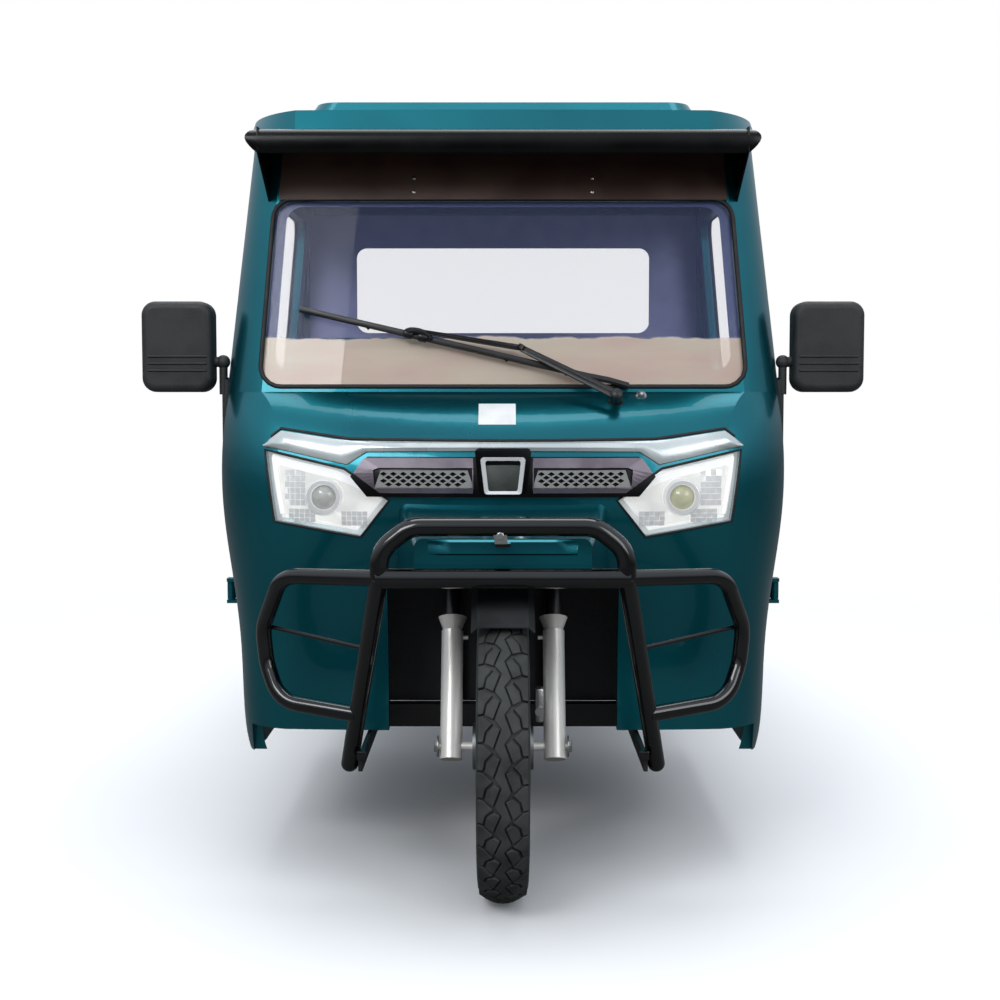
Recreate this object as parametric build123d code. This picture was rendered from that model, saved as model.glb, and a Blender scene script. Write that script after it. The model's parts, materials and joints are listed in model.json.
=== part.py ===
from build123d import *
import os
from math import cos, sin, radians, sqrt

# Enclosed electric tricycle with a closed cab and an open cargo bed.
# Millimetres. X is across, with +X on the left of someone who sits in it facing -Y, the front.
# Y is counted from the front axle while modelling; save() moves all pieces to the middle of the length.
# Z is up from the ground.

# Wheels
front_tyre_radius = 302
front_tyre_width = 100
front_bead_radius = 206
rear_tyre_radius = 290
rear_tyre_width = 116
rear_bead_radius = 160
wheelbase = 2130
rear_track = 1000
running_clearance = 0.05

# Steering
rake_deg = 24
axle_lead = 40
fork_half_span = 103
slider_radius = 22
stanchion_radius = 16.5
slider_top = 236
cup_height = 28
cup_foot_radius = 18
cup_mouth_radius = 29
pin_radius = 4
pin_reach = 32
pin_below_top = 14
lower_crown_at = 374
upper_crown_at = 590
crown_thickness = 30
stem_radius = 17
axle_radius = 8
head_tube_radius = 30
head_gap = 1
bar_at = 790
bar_back = 90
bar_half_width = 320
bar_radius = 11

# Cab body: height, half width, front at the middle, corner start across and along, side start
BODY_COLUMNS = ("z", "half_width", "nose_y", "corner_x", "corner_y", "side_y")
LOWER_BODY = [
    (237, 550, 160, 450, 172, 330),
    (462, 569, 140, 450, 158, 340),
    (639, 588, 95, 460, 135, 350),
    (816, 604, 60, 460, 115, 350),
    (900, 603, 85, 460, 130, 350),
    (1005, 596, 195, 505, 205, 360),
]
UPPER_BODY = [
    (1005, 596, 195, 505, 205, 360),
    (1545, 546, 318, 475, 322, 445),
]
body_wall = 25
cab_rear_y = 1250
body_bottom_z = LOWER_BODY[0][0]
body_top_z = UPPER_BODY[-1][0]
waist_z = UPPER_BODY[0][0]
cowl_end_y = 405

# Front wheel arch and nose
arch_half_width = 238
arch_top_z = 640
arch_corner_radius = 30
apron_bottom_z = 300
nose_tip_y = -130
nose_tip_half_width = 168
nose_root_half_width = 225
nose_tip_low_z = 640
nose_tip_high_z = 728
nose_root_high_z = 800
nose_wall = 12

# Doors
door_front_y = 430
door_rear_y = 1180
door_bottom_z = 292
door_top_z = 1500
door_gap = 6
door_hinge_out = 10
door_window_front_y = 490
door_window_rear_y = 1116
door_window_low_z = 1060
door_window_high_z = 1462
door_corner_radius = 45
door_opening_corner_radius = 50
glass_thickness = 5
glass_gap = 0.3
glass_inset = 6

# Windscreen and rear window
screen_low_z = 1020
screen_high_z = 1412
screen_low_half_width = 508
screen_high_half_width = 484
screen_corner_radius = 40
rear_window_half_width = 408
rear_window_low_z = 1170
rear_window_high_z = 1410
rear_window_corner_radius = 30

# Roof and visor
roof_front_y = 192
roof_rear_y = 1278
roof_half_width = 552
roof_edge_height = 42
roof_top_z = 1636
roof_wall = 22
raised_half_width = 440
raised_front_y = 350
raised_rear_y = 1180
visor_lip_y = 150
visor_lip_low_z = 1489
visor_tip_half_width = 532
visor_half_width = 505
visor_plate = 5
visor_foot_z = 1408

# Cab inside
floor_top_z = 320
floor_plate = 5
firewall_y = 388
dash_rear_y = 384
seat_half_width = 420
seat_front_y = 800
seat_base_top_z = 520
cushion_thickness = 85
seat_back_thickness = 80
seat_back_half_width = 540
seat_back_top_z = 1150
seat_back_drop = 40
seat_back_corner = 40

# Chassis
rail_x = 330
rail_width = 40
rail_height = 50
rear_rail_bottom_z = 560
rear_rail_top_z = 620

# Cargo bed
bed_front_y = 1290
bed_length = 1480
bed_half_width = 558
bed_floor_z = 664
bed_floor_plate = 4
bed_side_height = 300
bed_wall = 25
tailgate_gap = 10
hinge_pin_radius = 5
hinge_knuckle_radius = 9
hinge_knuckle_length = 40
hinge_lug = 8
bumper_y = bed_front_y + bed_length + 30

front_reach_y = -front_tyre_radius
tow_reach = 58
rear_reach_y = bumper_y + tow_reach
middle_y = (front_reach_y + rear_reach_y) / 2

os.makedirs("parts", exist_ok=True)


def save(node, shape):
    """Move a piece to the middle of the vehicle's length and write it."""
    solids = shape if isinstance(shape, list) else [shape]
    pieces = [Pos(0, -middle_y, 0) * solid for one in solids for solid in one.solids()]
    export_step(pieces[0] if len(pieces) == 1 else Compound(children=pieces), f"parts/{node}.step")


def block(x, y, z):
    """A box between two values on each axis."""
    size = [high - low for low, high in (x, y, z)]
    middle = [(high + low) / 2 for low, high in (x, y, z)]
    return Pos(*middle) * Box(*size)


def both(shape):
    """A piece and its mirror image across the vehicle."""
    return [shape, mirror(shape, about=Plane.YZ)]


def rod(start, end, radius):
    """A round bar between two points."""
    start, end = Vector(*start), Vector(*end)
    plane = Plane(origin=start, z_dir=(end - start))
    return extrude(plane * Circle(radius), (end - start).length)


def tube(points, radius, bend):
    """A bent round tube along straight runs joined by arcs."""
    path = FilletPolyline(*points, radius=bend)
    return sweep(Plane(origin=path @ 0, z_dir=path % 0) * Circle(radius), path=path)


def body_section(z, half_width, nose_y, corner_x, corner_y, side_y, inset=0):
    """One level of the cab's outer form, inset by a wall."""
    half = half_width - inset
    corner_x = corner_x - inset * 0.4
    nose = nose_y + inset
    front = corner_y + inset
    side = side_y + inset * 0.3
    rear = cab_rear_y
    mid_x = corner_x + (half - corner_x) * 0.7071
    mid_y = side - (side - front) * 0.7071
    edges = [
        Line((-half, rear, z), (half, rear, z)),
        Line((half, rear, z), (half, side, z)),
        ThreePointArc((half, side, z), (mid_x, mid_y, z), (corner_x, front, z)),
        ThreePointArc((corner_x, front, z), (0, nose, z), (-corner_x, front, z)),
        ThreePointArc((-corner_x, front, z), (-mid_x, mid_y, z), (-half, side, z)),
        Line((-half, side, z), (-half, rear, z)),
    ]
    return make_face(edges)


def lower_form(inset=0):
    return loft([body_section(*row, inset=inset) for row in LOWER_BODY])


def upper_form(inset=0):
    return loft([body_section(*row, inset=inset) for row in UPPER_BODY], ruled=True)


def skin(form, outside, inside):
    """A layer of the cab's skin between two insets."""
    return form(outside) - form(inside)


def front_prism(points, y=(-400, 700)):
    """A prism along Y over an outline given as (x, z)."""
    face = make_face(Polyline(*[(px, y[0], pz) for px, pz in points], close=True))
    return extrude(face, y[1] - y[0], dir=(0, 1, 0))


def side_prism(low_y, high_y, low_z, high_z, radius, x=(380, 800)):
    """A prism along X with rounded corners."""
    plane = Plane(origin=(x[0], (low_y + high_y) / 2, (low_z + high_z) / 2), x_dir=(0, 1, 0), z_dir=(1, 0, 0))
    face = plane * RectangleRounded(high_y - low_y, high_z - low_z, radius)
    return extrude(face, x[1] - x[0])


# Cab shell, cut into the panels that the real one is bolted together from
lower_shell = skin(lower_form, 0, body_wall)
upper_shell = skin(upper_form, 0, body_wall)
shell = lower_shell + upper_shell

door_cut = side_prism(door_front_y, door_rear_y, door_bottom_z, door_top_z, door_opening_corner_radius)
door_blank = side_prism(
    door_front_y + door_gap, door_rear_y - door_gap, door_bottom_z + door_gap, door_top_z - door_gap,
    door_opening_corner_radius - door_gap,
)
door_window = side_prism(
    door_window_front_y, door_window_rear_y, door_window_low_z, door_window_high_z, door_corner_radius
)
door_shell = (shell & door_blank) - door_window
window_blank = side_prism(
    door_window_front_y + glass_gap, door_window_rear_y - glass_gap,
    door_window_low_z + glass_gap, door_window_high_z - glass_gap, door_corner_radius - glass_gap,
)
door_glass = skin(upper_form, glass_inset, glass_inset + glass_thickness) & window_blank

screen_outline = [
    (-screen_low_half_width, screen_low_z), (screen_low_half_width, screen_low_z),
    (screen_high_half_width, screen_high_z), (-screen_high_half_width, screen_high_z),
]


def rounded_prism(points, radius, y):
    prism = front_prism(points, y)
    return fillet(prism.edges().filter_by(Axis.Y), radius)


screen_cut = rounded_prism(screen_outline, screen_corner_radius, (0, 600))
screen_middle_z = (screen_low_z + screen_high_z) / 2
glass_outline = []
for px, pz in screen_outline:
    glass_x = px - glass_gap * (1 if px > 0 else -1)
    glass_z = pz + glass_gap * (1 if pz < screen_middle_z else -1)
    glass_outline.append((glass_x, glass_z))
screen_blank = rounded_prism(glass_outline, screen_corner_radius, (0, 600))
windscreen = skin(upper_form, glass_inset, glass_inset + glass_thickness) & screen_blank

frame_shell = shell - door_cut - mirror(door_cut, about=Plane.YZ) - screen_cut

# Front wheel arch, the nose over it and the apron's lower edge
arch_cut = block((-arch_half_width, arch_half_width), (-400, cowl_end_y - 60), (0, arch_top_z))
arch_cut = fillet(
    arch_cut.edges().filter_by(Axis.Y).group_by(Axis.Z)[-1], arch_corner_radius
)
apron_cut = block((-535, 535), (-400, 250), (0, apron_bottom_z))


def nose_form(inset=0):
    """The nose tapers forward from the cowl to a flat-fronted tip over the wheel."""
    def level(y, half, low, high):
        plane = Plane(origin=(0, y, (low + high) / 2), x_dir=(1, 0, 0), z_dir=(0, -1, 0))
        return plane * RectangleRounded(2 * (half - inset), high - low - inset, 18)
    root_y = 150
    return loft([
        level(root_y, nose_root_half_width, nose_tip_low_z - inset, nose_root_high_z),
        level(nose_tip_y + inset, nose_tip_half_width, nose_tip_low_z - inset, nose_tip_high_z),
    ], ruled=True)


nose_hollow = nose_form(nose_wall)
cowl = frame_shell & block((-700, 700), (-400, cowl_end_y), (body_bottom_z, waist_z))
cowl = cowl - arch_cut - apron_cut
nose_inside = lower_form(body_wall)
nose = (nose_form() - nose_inside) - nose_hollow
nose_mouth = nose_hollow - nose_inside
cowl = (cowl - nose_mouth) + nose
cowl = cowl.solids().sort_by(SortBy.VOLUME)[-1]

# Headlamps: an outline in the front view, a clear lens flush with the cowl and a deep reflector behind
LAMP_OUTLINE = [(486, 884), (322, 848), (232, 786), (290, 713), (466, 742)]
lamp_lens_thickness = 5
lamp_gap = 0.3
lamp_depth = 70
projector_x, projector_z = 366, 790
projector_radius = 35
projector_bezel = 10


def inward(points, amount):
    """Points moved towards the outline's middle by a share that shrinks it by about the amount."""
    cx = sum(p[0] for p in points) / len(points)
    cz = sum(p[1] for p in points) / len(points)
    moved = []
    for px, pz in points:
        reach = sqrt((px - cx) ** 2 + (pz - cz) ** 2)
        share = (reach - amount) / reach
        moved.append((cx + (px - cx) * share, cz + (pz - cz) * share))
    return moved


lamp_cut = front_prism(LAMP_OUTLINE)
lens_prism = front_prism(inward(LAMP_OUTLINE, lamp_gap * 1.6))
lamp_lens = skin(
    lower_form, 1, 1 + lamp_lens_thickness,
) & lens_prism & block((0, 700), (-400, 330), (0, 1000))
lamp_house = skin(
    lower_form, body_wall + lamp_gap, body_wall + lamp_depth,
) & front_prism(inward(LAMP_OUTLINE, -14))
lamp_house = lamp_house & block((0, 700), (-400, 400), (0, 1000))
bowl_prism = front_prism(inward(LAMP_OUTLINE, 12))
lamp_bowl = skin(lower_form, 0, body_wall + lamp_depth - 12) & bowl_prism
lamp_house = lamp_house - lamp_bowl
projector_y = 145
projector = Plane(origin=(projector_x, projector_y, projector_z), z_dir=(0, 1, 0)) * Cylinder(
    projector_radius, 90, align=(Align.CENTER, Align.CENTER, Align.MIN)
)
projector_hollow = Plane(origin=(projector_x, projector_y - 1, projector_z), z_dir=(0, 1, 0)) * Cylinder(
    projector_radius - projector_bezel, 20, align=(Align.CENTER, Align.CENTER, Align.MIN)
)
projector_ball = Pos(projector_x, projector_y + 42, projector_z) * Sphere(projector_radius - 4)
projector = projector - projector_hollow + (projector_ball & projector_hollow)
lamp_house = lamp_house + (projector & lower_form(6))
lamp_house = lamp_house.solids().sort_by(SortBy.VOLUME)[-1]

# Grille: a black frame with six-sided ends, two mesh windows and a middle place for a badge
grille_half_width = 308
grille_high_z = 874
grille_low_z = 794
grille_end = 34
grille_proud = 10
mesh_windows = [(-258, -58), (58, 258)]
mesh_low_z, mesh_high_z = 812, 848
mesh_slant = 12
mesh_gap = 0.5
grille_mid_z = (grille_high_z + grille_low_z) / 2
grille_outline = [
    (-grille_half_width, grille_mid_z), (-grille_half_width + grille_end, grille_high_z),
    (grille_half_width - grille_end, grille_high_z), (grille_half_width, grille_mid_z),
    (grille_half_width - grille_end, grille_low_z), (-grille_half_width + grille_end, grille_low_z),
]
grille_layer = skin(lower_form, -grille_proud, 0)
grille = grille_layer & front_prism(grille_outline, (-400, 300))
for low_x, high_x in mesh_windows:
    window = [
        (low_x, mesh_low_z), (high_x, mesh_low_z), (high_x - mesh_slant, mesh_high_z),
        (low_x + mesh_slant, mesh_high_z)
    ]
    grille = grille - front_prism(window, (-400, 300))

# Diamond mesh: a thin plate with rows of four-sided holes, set into each window behind the frame's face
mesh_pitch = 20
mesh_hole_width = 15
mesh_hole_height = 9
mesh_row_step = 7
mesh_plate = 3
mesh_stand_off = 4.5
mesh_parts = []
for low_x, high_x in mesh_windows:
    mid_x = (low_x + high_x) / 2
    face_y = 60 - mesh_stand_off + 55 * (mid_x / 460) ** 2
    turn = 13.5 * mid_x / 460
    plane = Plane(origin=(mid_x, face_y, mesh_low_z), x_dir=(cos(radians(turn)), sin(radians(turn)), 0),
                  z_dir=(sin(radians(turn)), -cos(radians(turn)), 0))
    half = (high_x - low_x) / 2 / cos(radians(turn)) - mesh_gap
    rise = mesh_high_z - mesh_low_z
    outline = make_face(Polyline(
        (-half, mesh_gap), (half, mesh_gap), (half - mesh_slant, rise - mesh_gap),
        (-half + mesh_slant, rise - mesh_gap),
        close=True,
    ))
    holes = []
    for row in range(1, int(rise / mesh_row_step)):
        row_z = row * mesh_row_step
        first = -half + mesh_slant + 6 + (row % 2) * mesh_pitch / 2
        count = int((2 * half - 2 * mesh_slant - 14 - (row % 2) * mesh_pitch / 2) / mesh_pitch) + 1
        for index in range(count):
            holes.append(Pos(first + index * mesh_pitch, row_z) * make_face(Polyline(
                (-mesh_hole_width / 2, 0), (0, -mesh_hole_height / 2),
                (mesh_hole_width / 2, 0), (0, mesh_hole_height / 2), close=True,
            )))
    mesh_parts.append(extrude(plane * (outline - holes), mesh_plate))

# Blank badge place in the middle of the grille
badge = skin(lower_form, -grille_proud - 8, -grille_proud) & front_prism(
    [(-42, 872), (42, 872), (34, 802), (-34, 802)], (-400, 300)
)

# Brow trim: a silver band over the grille that widens above each headlamp
BROW_OUTLINE = [
    (0, 893), (270, 896), (322, 922), (408, 926), (470, 890), (420, 888), (322, 852), (286, 878), (0, 878),
]
brow_proud = 7
brow_points = BROW_OUTLINE + [(-px, pz) for px, pz in reversed(BROW_OUTLINE) if px > 0]
brow = skin(lower_form, -brow_proud, 0) & front_prism(brow_points, (-400, 330))

cowl = cowl - lamp_cut - mirror(lamp_cut, about=Plane.YZ)
cowl = cowl.solids().sort_by(SortBy.VOLUME)[-1]
save("front_cowl", cowl)
save("headlamps", both(lamp_house))
save("headlamp_lenses", both(lamp_lens))
save("grille", grille)
save("grille_mesh", mesh_parts)
save("badge_plate", badge)
save("brow_trim", brow)

# Cab frame panels
panel_front_y = cab_rear_y - body_wall
windscreen_frame = frame_shell & block((-700, 700), (-400, cowl_end_y), (waist_z, body_top_z))
side_frames = frame_shell & block((-700, 700), (cowl_end_y, panel_front_y), (body_bottom_z, body_top_z))
whole_form = lower_form() + upper_form()
back_slab = block((-700, 700), (panel_front_y, cab_rear_y), (floor_top_z - floor_plate, body_top_z))


def rear_window_form(gap):
    """The rear window's opening, less a gap all round, through the back panel."""
    plane = Plane(
        origin=(0, cab_rear_y + 10, (rear_window_low_z + rear_window_high_z) / 2), x_dir=(1, 0, 0),
        z_dir=(0, -1, 0)
    )
    face = plane * RectangleRounded(
        2 * (rear_window_half_width - gap), rear_window_high_z - rear_window_low_z - 2 * gap,
        rear_window_corner_radius - gap,
    )
    return extrude(face, body_wall + 20)


back_panel = (whole_form & back_slab) - rear_window_form(0)
rear_glass_y = cab_rear_y - 15
rear_window = rear_window_form(glass_gap) & block(
    (-500, 500), (rear_glass_y, rear_glass_y + glass_thickness), (1100, 1500),
)
save("windscreen_frame", windscreen_frame)
save("back_panel", back_panel)
save("windscreen", windscreen)
save("rear_window", rear_window)

# Doors: a panel cut from the same skin, its window, and two hinge knuckles and a pull handle outside
body_half_width = max(row[BODY_COLUMNS.index("half_width")] for row in LOWER_BODY)
door_hinge_x = body_half_width + door_hinge_out
hinge_y = door_front_y - 4
hinge_heights = (560, 1010)
handle_z = 960
door_right = door_shell.solids().sort_by(Axis.X)[-1]
handle_y = door_rear_y - 110
handle = tube(
    [(590, handle_y - 60, handle_z), (628, handle_y - 55, handle_z), (628, handle_y + 55, handle_z),
     (590, handle_y + 60, handle_z)], 7, 12,
)
door_right = door_right + (handle - lower_form(12))
half_knuckle = hinge_knuckle_length / 2
frame_hinge = []
for height in hinge_heights:
    pin = rod(
        (door_hinge_x, hinge_y, height - half_knuckle - hinge_lug),
        (door_hinge_x, hinge_y, height + half_knuckle + hinge_lug),
        hinge_pin_radius,
    )
    ears = [
        block((560, door_hinge_x + 7), (cowl_end_y + 1, hinge_y + 7), sorted((
            height + end * (half_knuckle + 0.5), height + end * (half_knuckle + hinge_lug))))
        for end in (-1, 1)
    ]
    frame_hinge.append((ears[0].fuse(ears[1]) - whole_form).fuse(pin))
    strap = block(
        (560, door_hinge_x), (hinge_y, hinge_y + 46), (height - half_knuckle, height + half_knuckle)
    ) - whole_form - block((500, door_hinge_x - 8), (hinge_y - 20, door_front_y + door_gap), (0, 2000))
    knuckle = rod(
        (door_hinge_x, hinge_y, height - half_knuckle), (door_hinge_x, hinge_y, height + half_knuckle),
        hinge_knuckle_radius
    )
    strap = (strap + knuckle) - rod(
        (door_hinge_x, hinge_y, height - 60), (door_hinge_x, hinge_y, height + 60),
        hinge_pin_radius + running_clearance
    )
    door_right = door_right + strap
for hinge in frame_hinge:
    side_frames = side_frames + hinge + mirror(hinge, about=Plane.YZ)
save("side_frames", side_frames)
glass_right = door_glass.solids().sort_by(Axis.X)[-1]
save("door_right", door_right)
save("door_left", mirror(door_right, about=Plane.YZ))
save("door_glass_right", glass_right)
save("door_glass_left", mirror(glass_right, about=Plane.YZ))

# Roof: an edge slab that overhangs the windscreen, with a raised middle, hollow below
def roof_level(z, inset):
    """The roof's plan at one height."""
    half = roof_half_width - inset
    front = roof_front_y + inset
    rear = roof_rear_y - inset
    corner_x = 430
    side_y = 470
    mid_x = corner_x + (half - corner_x) * 0.7071
    mid_y = side_y - (side_y - front - 8) * 0.7071
    return make_face([
        Line((-half, rear, z), (half, rear, z)),
        Line((half, rear, z), (half, side_y, z)),
        ThreePointArc((half, side_y, z), (mid_x, mid_y, z), (corner_x, front + 8, z)),
        ThreePointArc((corner_x, front + 8, z), (0, front, z), (-corner_x, front + 8, z)),
        ThreePointArc((-corner_x, front + 8, z), (-mid_x, mid_y, z), (-half, side_y, z)),
        Line((-half, side_y, z), (-half, rear, z)),
    ])


roof_edge_z = body_top_z + roof_edge_height
roof_slab = loft([roof_level(body_top_z, 0), roof_level(roof_edge_z, 14)], ruled=True)


def raised_form(inset):
    """The raised middle of the roof, narrower at its top."""
    length = raised_rear_y - raised_front_y
    middle = (raised_rear_y + raised_front_y) / 2
    return loft([
        Pos(0, middle, roof_edge_z - 1 - inset) * RectangleRounded(
            2 * (raised_half_width - inset), length - 2 * inset, 60,
        ),
        Pos(0, middle, roof_top_z - inset) * RectangleRounded(
            2 * (raised_half_width - 30 - inset), length - 60 - 2 * inset, 50,
        ),
    ], ruled=True)


roof = roof_slab + raised_form(0)
roof = roof - raised_form(roof_wall) - block(
    (-418, 418), (raised_front_y + roof_wall, raised_rear_y - roof_wall), (body_top_z - 5, roof_edge_z - 10),
)
save("roof", roof)

# Sun visor: a band and side gussets under the roof's overhang, with the header panel behind
visor_top_z = body_top_z
visor_band = block(
    (-visor_half_width, visor_half_width), (visor_lip_y, visor_lip_y + visor_plate),
    (visor_lip_low_z, visor_top_z),
)
visor_plan = make_face(Polyline(
    (-visor_tip_half_width, visor_lip_y, visor_top_z), (visor_tip_half_width, visor_lip_y, visor_top_z),
    (visor_half_width, visor_lip_y + 60, visor_top_z), (visor_half_width, 318, visor_top_z),
    (-visor_half_width, 318, visor_top_z), (-visor_half_width, visor_lip_y + 60, visor_top_z), close=True,
))
visor_top = extrude(visor_plan, visor_plate, dir=(0, 0, -1))
visor_tip = extrude(make_face(Polyline(
    (visor_half_width - 2, visor_lip_y, visor_lip_low_z), (visor_half_width - 2, visor_lip_y, visor_top_z),
    (visor_tip_half_width, visor_lip_y, visor_top_z), (visor_tip_half_width, visor_lip_y, visor_top_z - 12),
    close=True,
)), visor_plate, dir=(0, 1, 0))
gusset_face = make_face(Polyline(
    (0, visor_lip_y, visor_top_z), (0, visor_lip_y, visor_lip_low_z),
    (0, 305, visor_foot_z), (0, 345, visor_foot_z), (0, 345, visor_top_z), close=True,
))
gusset = extrude(gusset_face, visor_plate, dir=(1, 0, 0))
gusset = Pos(visor_half_width - visor_plate, 0, 0) * gusset - upper_form()
gusset = gusset.solids().sort_by(SortBy.VOLUME)[-1]
visor = (visor_top - upper_form()) + visor_band + visor_tip + mirror(visor_tip, about=Plane.YZ)
visor = visor + gusset + mirror(gusset, about=Plane.YZ)
header_outline = [
    (-478, screen_high_z + 2), (478, screen_high_z + 2), (470, visor_top_z - 8), (-470, visor_top_z - 8),
]
header = skin(upper_form, -4, 0) & front_prism(header_outline, (0, 500))
save("visor", visor)
save("header_panel", header)

# Mirrors: a housing with a rearward glass, an arm and a plate on the windscreen pillar's side
mirror_y = 330
mirror_x = (622, 775)
mirror_z = (1005, 1199)
mirror_plane = Plane(
    origin=(sum(mirror_x) / 2, mirror_y, sum(mirror_z) / 2), x_dir=(1, 0, 0), z_dir=(0, -1, 0)
)
mirror_width = mirror_x[1] - mirror_x[0]
mirror_height = mirror_z[1] - mirror_z[0]
mirror_depth = 52
mirror_corner = 30
mirror_edge = 16
mirror_lip = 6
mirror_house = extrude(mirror_plane * RectangleRounded(mirror_width, mirror_height, mirror_corner), mirror_depth)
mirror_house = fillet(mirror_house.edges().group_by(Axis.Y)[0], mirror_edge)
mirror_hollow = RectangleRounded(
    mirror_width - 2 * mirror_lip, mirror_height - 2 * mirror_lip, mirror_corner - mirror_lip
)
mirror_house = mirror_house - extrude(mirror_plane * mirror_hollow, mirror_lip)
mirror_plate_x = 606
mirror_plate_z = (892, 1032)
arm_x = mirror_plate_x - 2
arm_y = mirror_y - 20
arm_low_z, arm_joint_z = 1000, 1070
upright_radius, joint_radius, arm_radius = 9, 15, 11
mirror_plate = block((mirror_plate_x - 14, mirror_plate_x), (arm_y - 8, mirror_y + 62), mirror_plate_z)
mirror_arm = rod((arm_x, arm_y, arm_low_z), (arm_x, arm_y, arm_joint_z - 8), upright_radius)
mirror_arm = mirror_arm + Pos(arm_x, arm_y, arm_joint_z) * Sphere(joint_radius)
mirror_arm = mirror_arm + rod((arm_x, arm_y, arm_joint_z), (mirror_x[0] + 20, arm_y, arm_joint_z), arm_radius)
mirror_piece = mirror_house + mirror_arm + mirror_plate - whole_form
mirror_piece = mirror_piece.solids().sort_by(SortBy.VOLUME)[-1]
save("mirrors", both(mirror_piece))

# Wiper: a pivot on the cowl's top edge, an arm and a blade over the glass
wiper_pivot_x, wiper_pivot_z = 234, 992
wiper_boss_y = (176, 212)
wiper_boss_radius = 13
wiper_root = (wiper_pivot_x, 182, wiper_pivot_z)
wiper_elbow = (40, 186, 1072)
wiper_saddle = (-80, 206, 1098)
blade_left, blade_right = (-430, 224, 1176), (262, 182, 1012)
wiper_arm_radius = 7
wiper_link_radius = 6
wiper = rod(
    (wiper_pivot_x, wiper_boss_y[0], wiper_pivot_z), (wiper_pivot_x, wiper_boss_y[1], wiper_pivot_z),
    wiper_boss_radius,
)
wiper = wiper + rod(wiper_root, wiper_elbow, wiper_arm_radius)
wiper = wiper + rod(wiper_elbow, wiper_saddle, wiper_link_radius)
wiper = wiper + rod(blade_left, blade_right, wiper_arm_radius)
wiper = (wiper - whole_form).solids().sort_by(SortBy.VOLUME)[-1]
save("wiper", wiper)

# Front guard: hoop with crossbar, and on each side a leg with a looped tube and a thin rod
guard_y = -172
guard_tube = 18
crossbar_tube = 19
leg_tube = 17
loop_tube = 15.5
guard_rod = 4.5
crossbar_z = 658
crossbar_overhang = 6
hoop_top_z = 754
hoop_half_width = 230
hoop_knee_z = 708
hoop_top_half_width = 172
hoop_bend = 60
leg_foot = (302, -24, 274)
stay_at = 120
stay_half_width = 15
stay_half_plate = 4
tab_half_width = 14
tab_z = 716
tab_plate = 6
hoop_right = [
    (hoop_half_width, guard_y, crossbar_z), (hoop_half_width, guard_y, hoop_knee_z),
    (hoop_top_half_width, guard_y, hoop_top_z),
]
hoop_left = [(-x, y, z) for x, y, z in hoop_right]
hoop = tube(hoop_left + hoop_right[::-1], guard_tube, hoop_bend)
crossbar_reach = hoop_half_width + crossbar_overhang
crossbar = rod((-crossbar_reach, guard_y, crossbar_z), (crossbar_reach, guard_y, crossbar_z), crossbar_tube)
guard_hoop = hoop + crossbar
for stay_x in (-stay_at, stay_at):
    guard_hoop = guard_hoop + block(
        (stay_x - stay_half_width, stay_x + stay_half_width), (guard_y, nose_tip_y),
        (crossbar_z - stay_half_plate, crossbar_z + stay_half_plate),
    )
tab = block((-tab_half_width, tab_half_width), (guard_y, nose_tip_y), (tab_z, tab_z + tab_plate))
tab_web = block((-tab_plate / 2, tab_plate / 2), (guard_y, guard_y + 2 * tab_plate), (tab_z, hoop_top_z))
guard_hoop = guard_hoop + tab + tab_web

leg_top = (hoop_half_width, guard_y, crossbar_z)
for side in (-1, 1):
    top = (side * leg_top[0], leg_top[1], leg_top[2])
    foot = (side * leg_foot[0], leg_foot[1], leg_foot[2])
    guard_hoop = guard_hoop + rod(top, foot, leg_tube) + Pos(*foot) * Sphere(leg_tube)

# The loop runs in wide bends from the crossbar's end round to the leg
loop_bend = 70
LOOP_PATH = [
    (hoop_half_width, guard_y, crossbar_z), (425, -78, 652), (474, 0, 540), (468, 4, 470), (440, -22, 398),
    (284, -68, 381),
]
loop = tube(LOOP_PATH, loop_tube, loop_bend)
loop_rod = rod((262, -114, 517), (467, 2, 543), guard_rod)
guard_loop = (loop + loop_rod) - guard_hoop
guard_loop = guard_loop.solids().sort_by(SortBy.VOLUME)[-1]
save("guard_hoop", guard_hoop)
save("guard_loops", both(guard_loop))

# Cab inside: firewall with dashboard, floor, seat base and the two cushions
inside_form = lower_form(body_wall + 0.3)
dash_profile = make_face(Polyline(
    (-560, 225, 985), (-560, firewall_y - 150, 985), (-560, dash_rear_y, 880), (-560, firewall_y, 872),
    (-560, firewall_y, floor_top_z), (-560, firewall_y - 6, floor_top_z), (-560, firewall_y - 6, 862),
    (-560, firewall_y - 154, 967), (-560, 225, 967), close=True,
))
dashboard = extrude(dash_profile, 1120, dir=(1, 0, 0)) & inside_form
dash_opening = block((-170, 170), (240, 500), (835, 1000))
dashboard = dashboard - dash_opening
dashboard = dashboard.solids().sort_by(SortBy.VOLUME)[-1]
save("dashboard", dashboard)

floor_pan = block(
    (-600, 600), (firewall_y, panel_front_y), (floor_top_z - floor_plate, floor_top_z),
) & inside_form
save("floor_pan", floor_pan)

seat_rear_y = panel_front_y - 10
seat_base = block(
    (-seat_half_width, seat_half_width), (seat_front_y + 30, seat_rear_y), (floor_top_z, seat_base_top_z),
)
save("seat_base", seat_base)
soft_gap = 0.3
cushion = block(
    (-seat_half_width, seat_half_width), (seat_front_y, seat_rear_y - seat_back_thickness),
    (seat_base_top_z + soft_gap, seat_base_top_z + cushion_thickness),
)
cushion = fillet(cushion.edges().filter_by(Axis.Z), 40)
cushion = fillet(cushion.edges().group_by(Axis.Z)[-1], 25)
save("seat_cushion", cushion)
seat_back = block(
    (-seat_back_half_width, seat_back_half_width),
    (panel_front_y - seat_back_thickness, panel_front_y - soft_gap),
    (seat_base_top_z + cushion_thickness - seat_back_drop, seat_back_top_z),
)
seat_back = fillet(seat_back.edges().filter_by(Axis.Y), seat_back_corner)
save("seat_back", seat_back)

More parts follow.
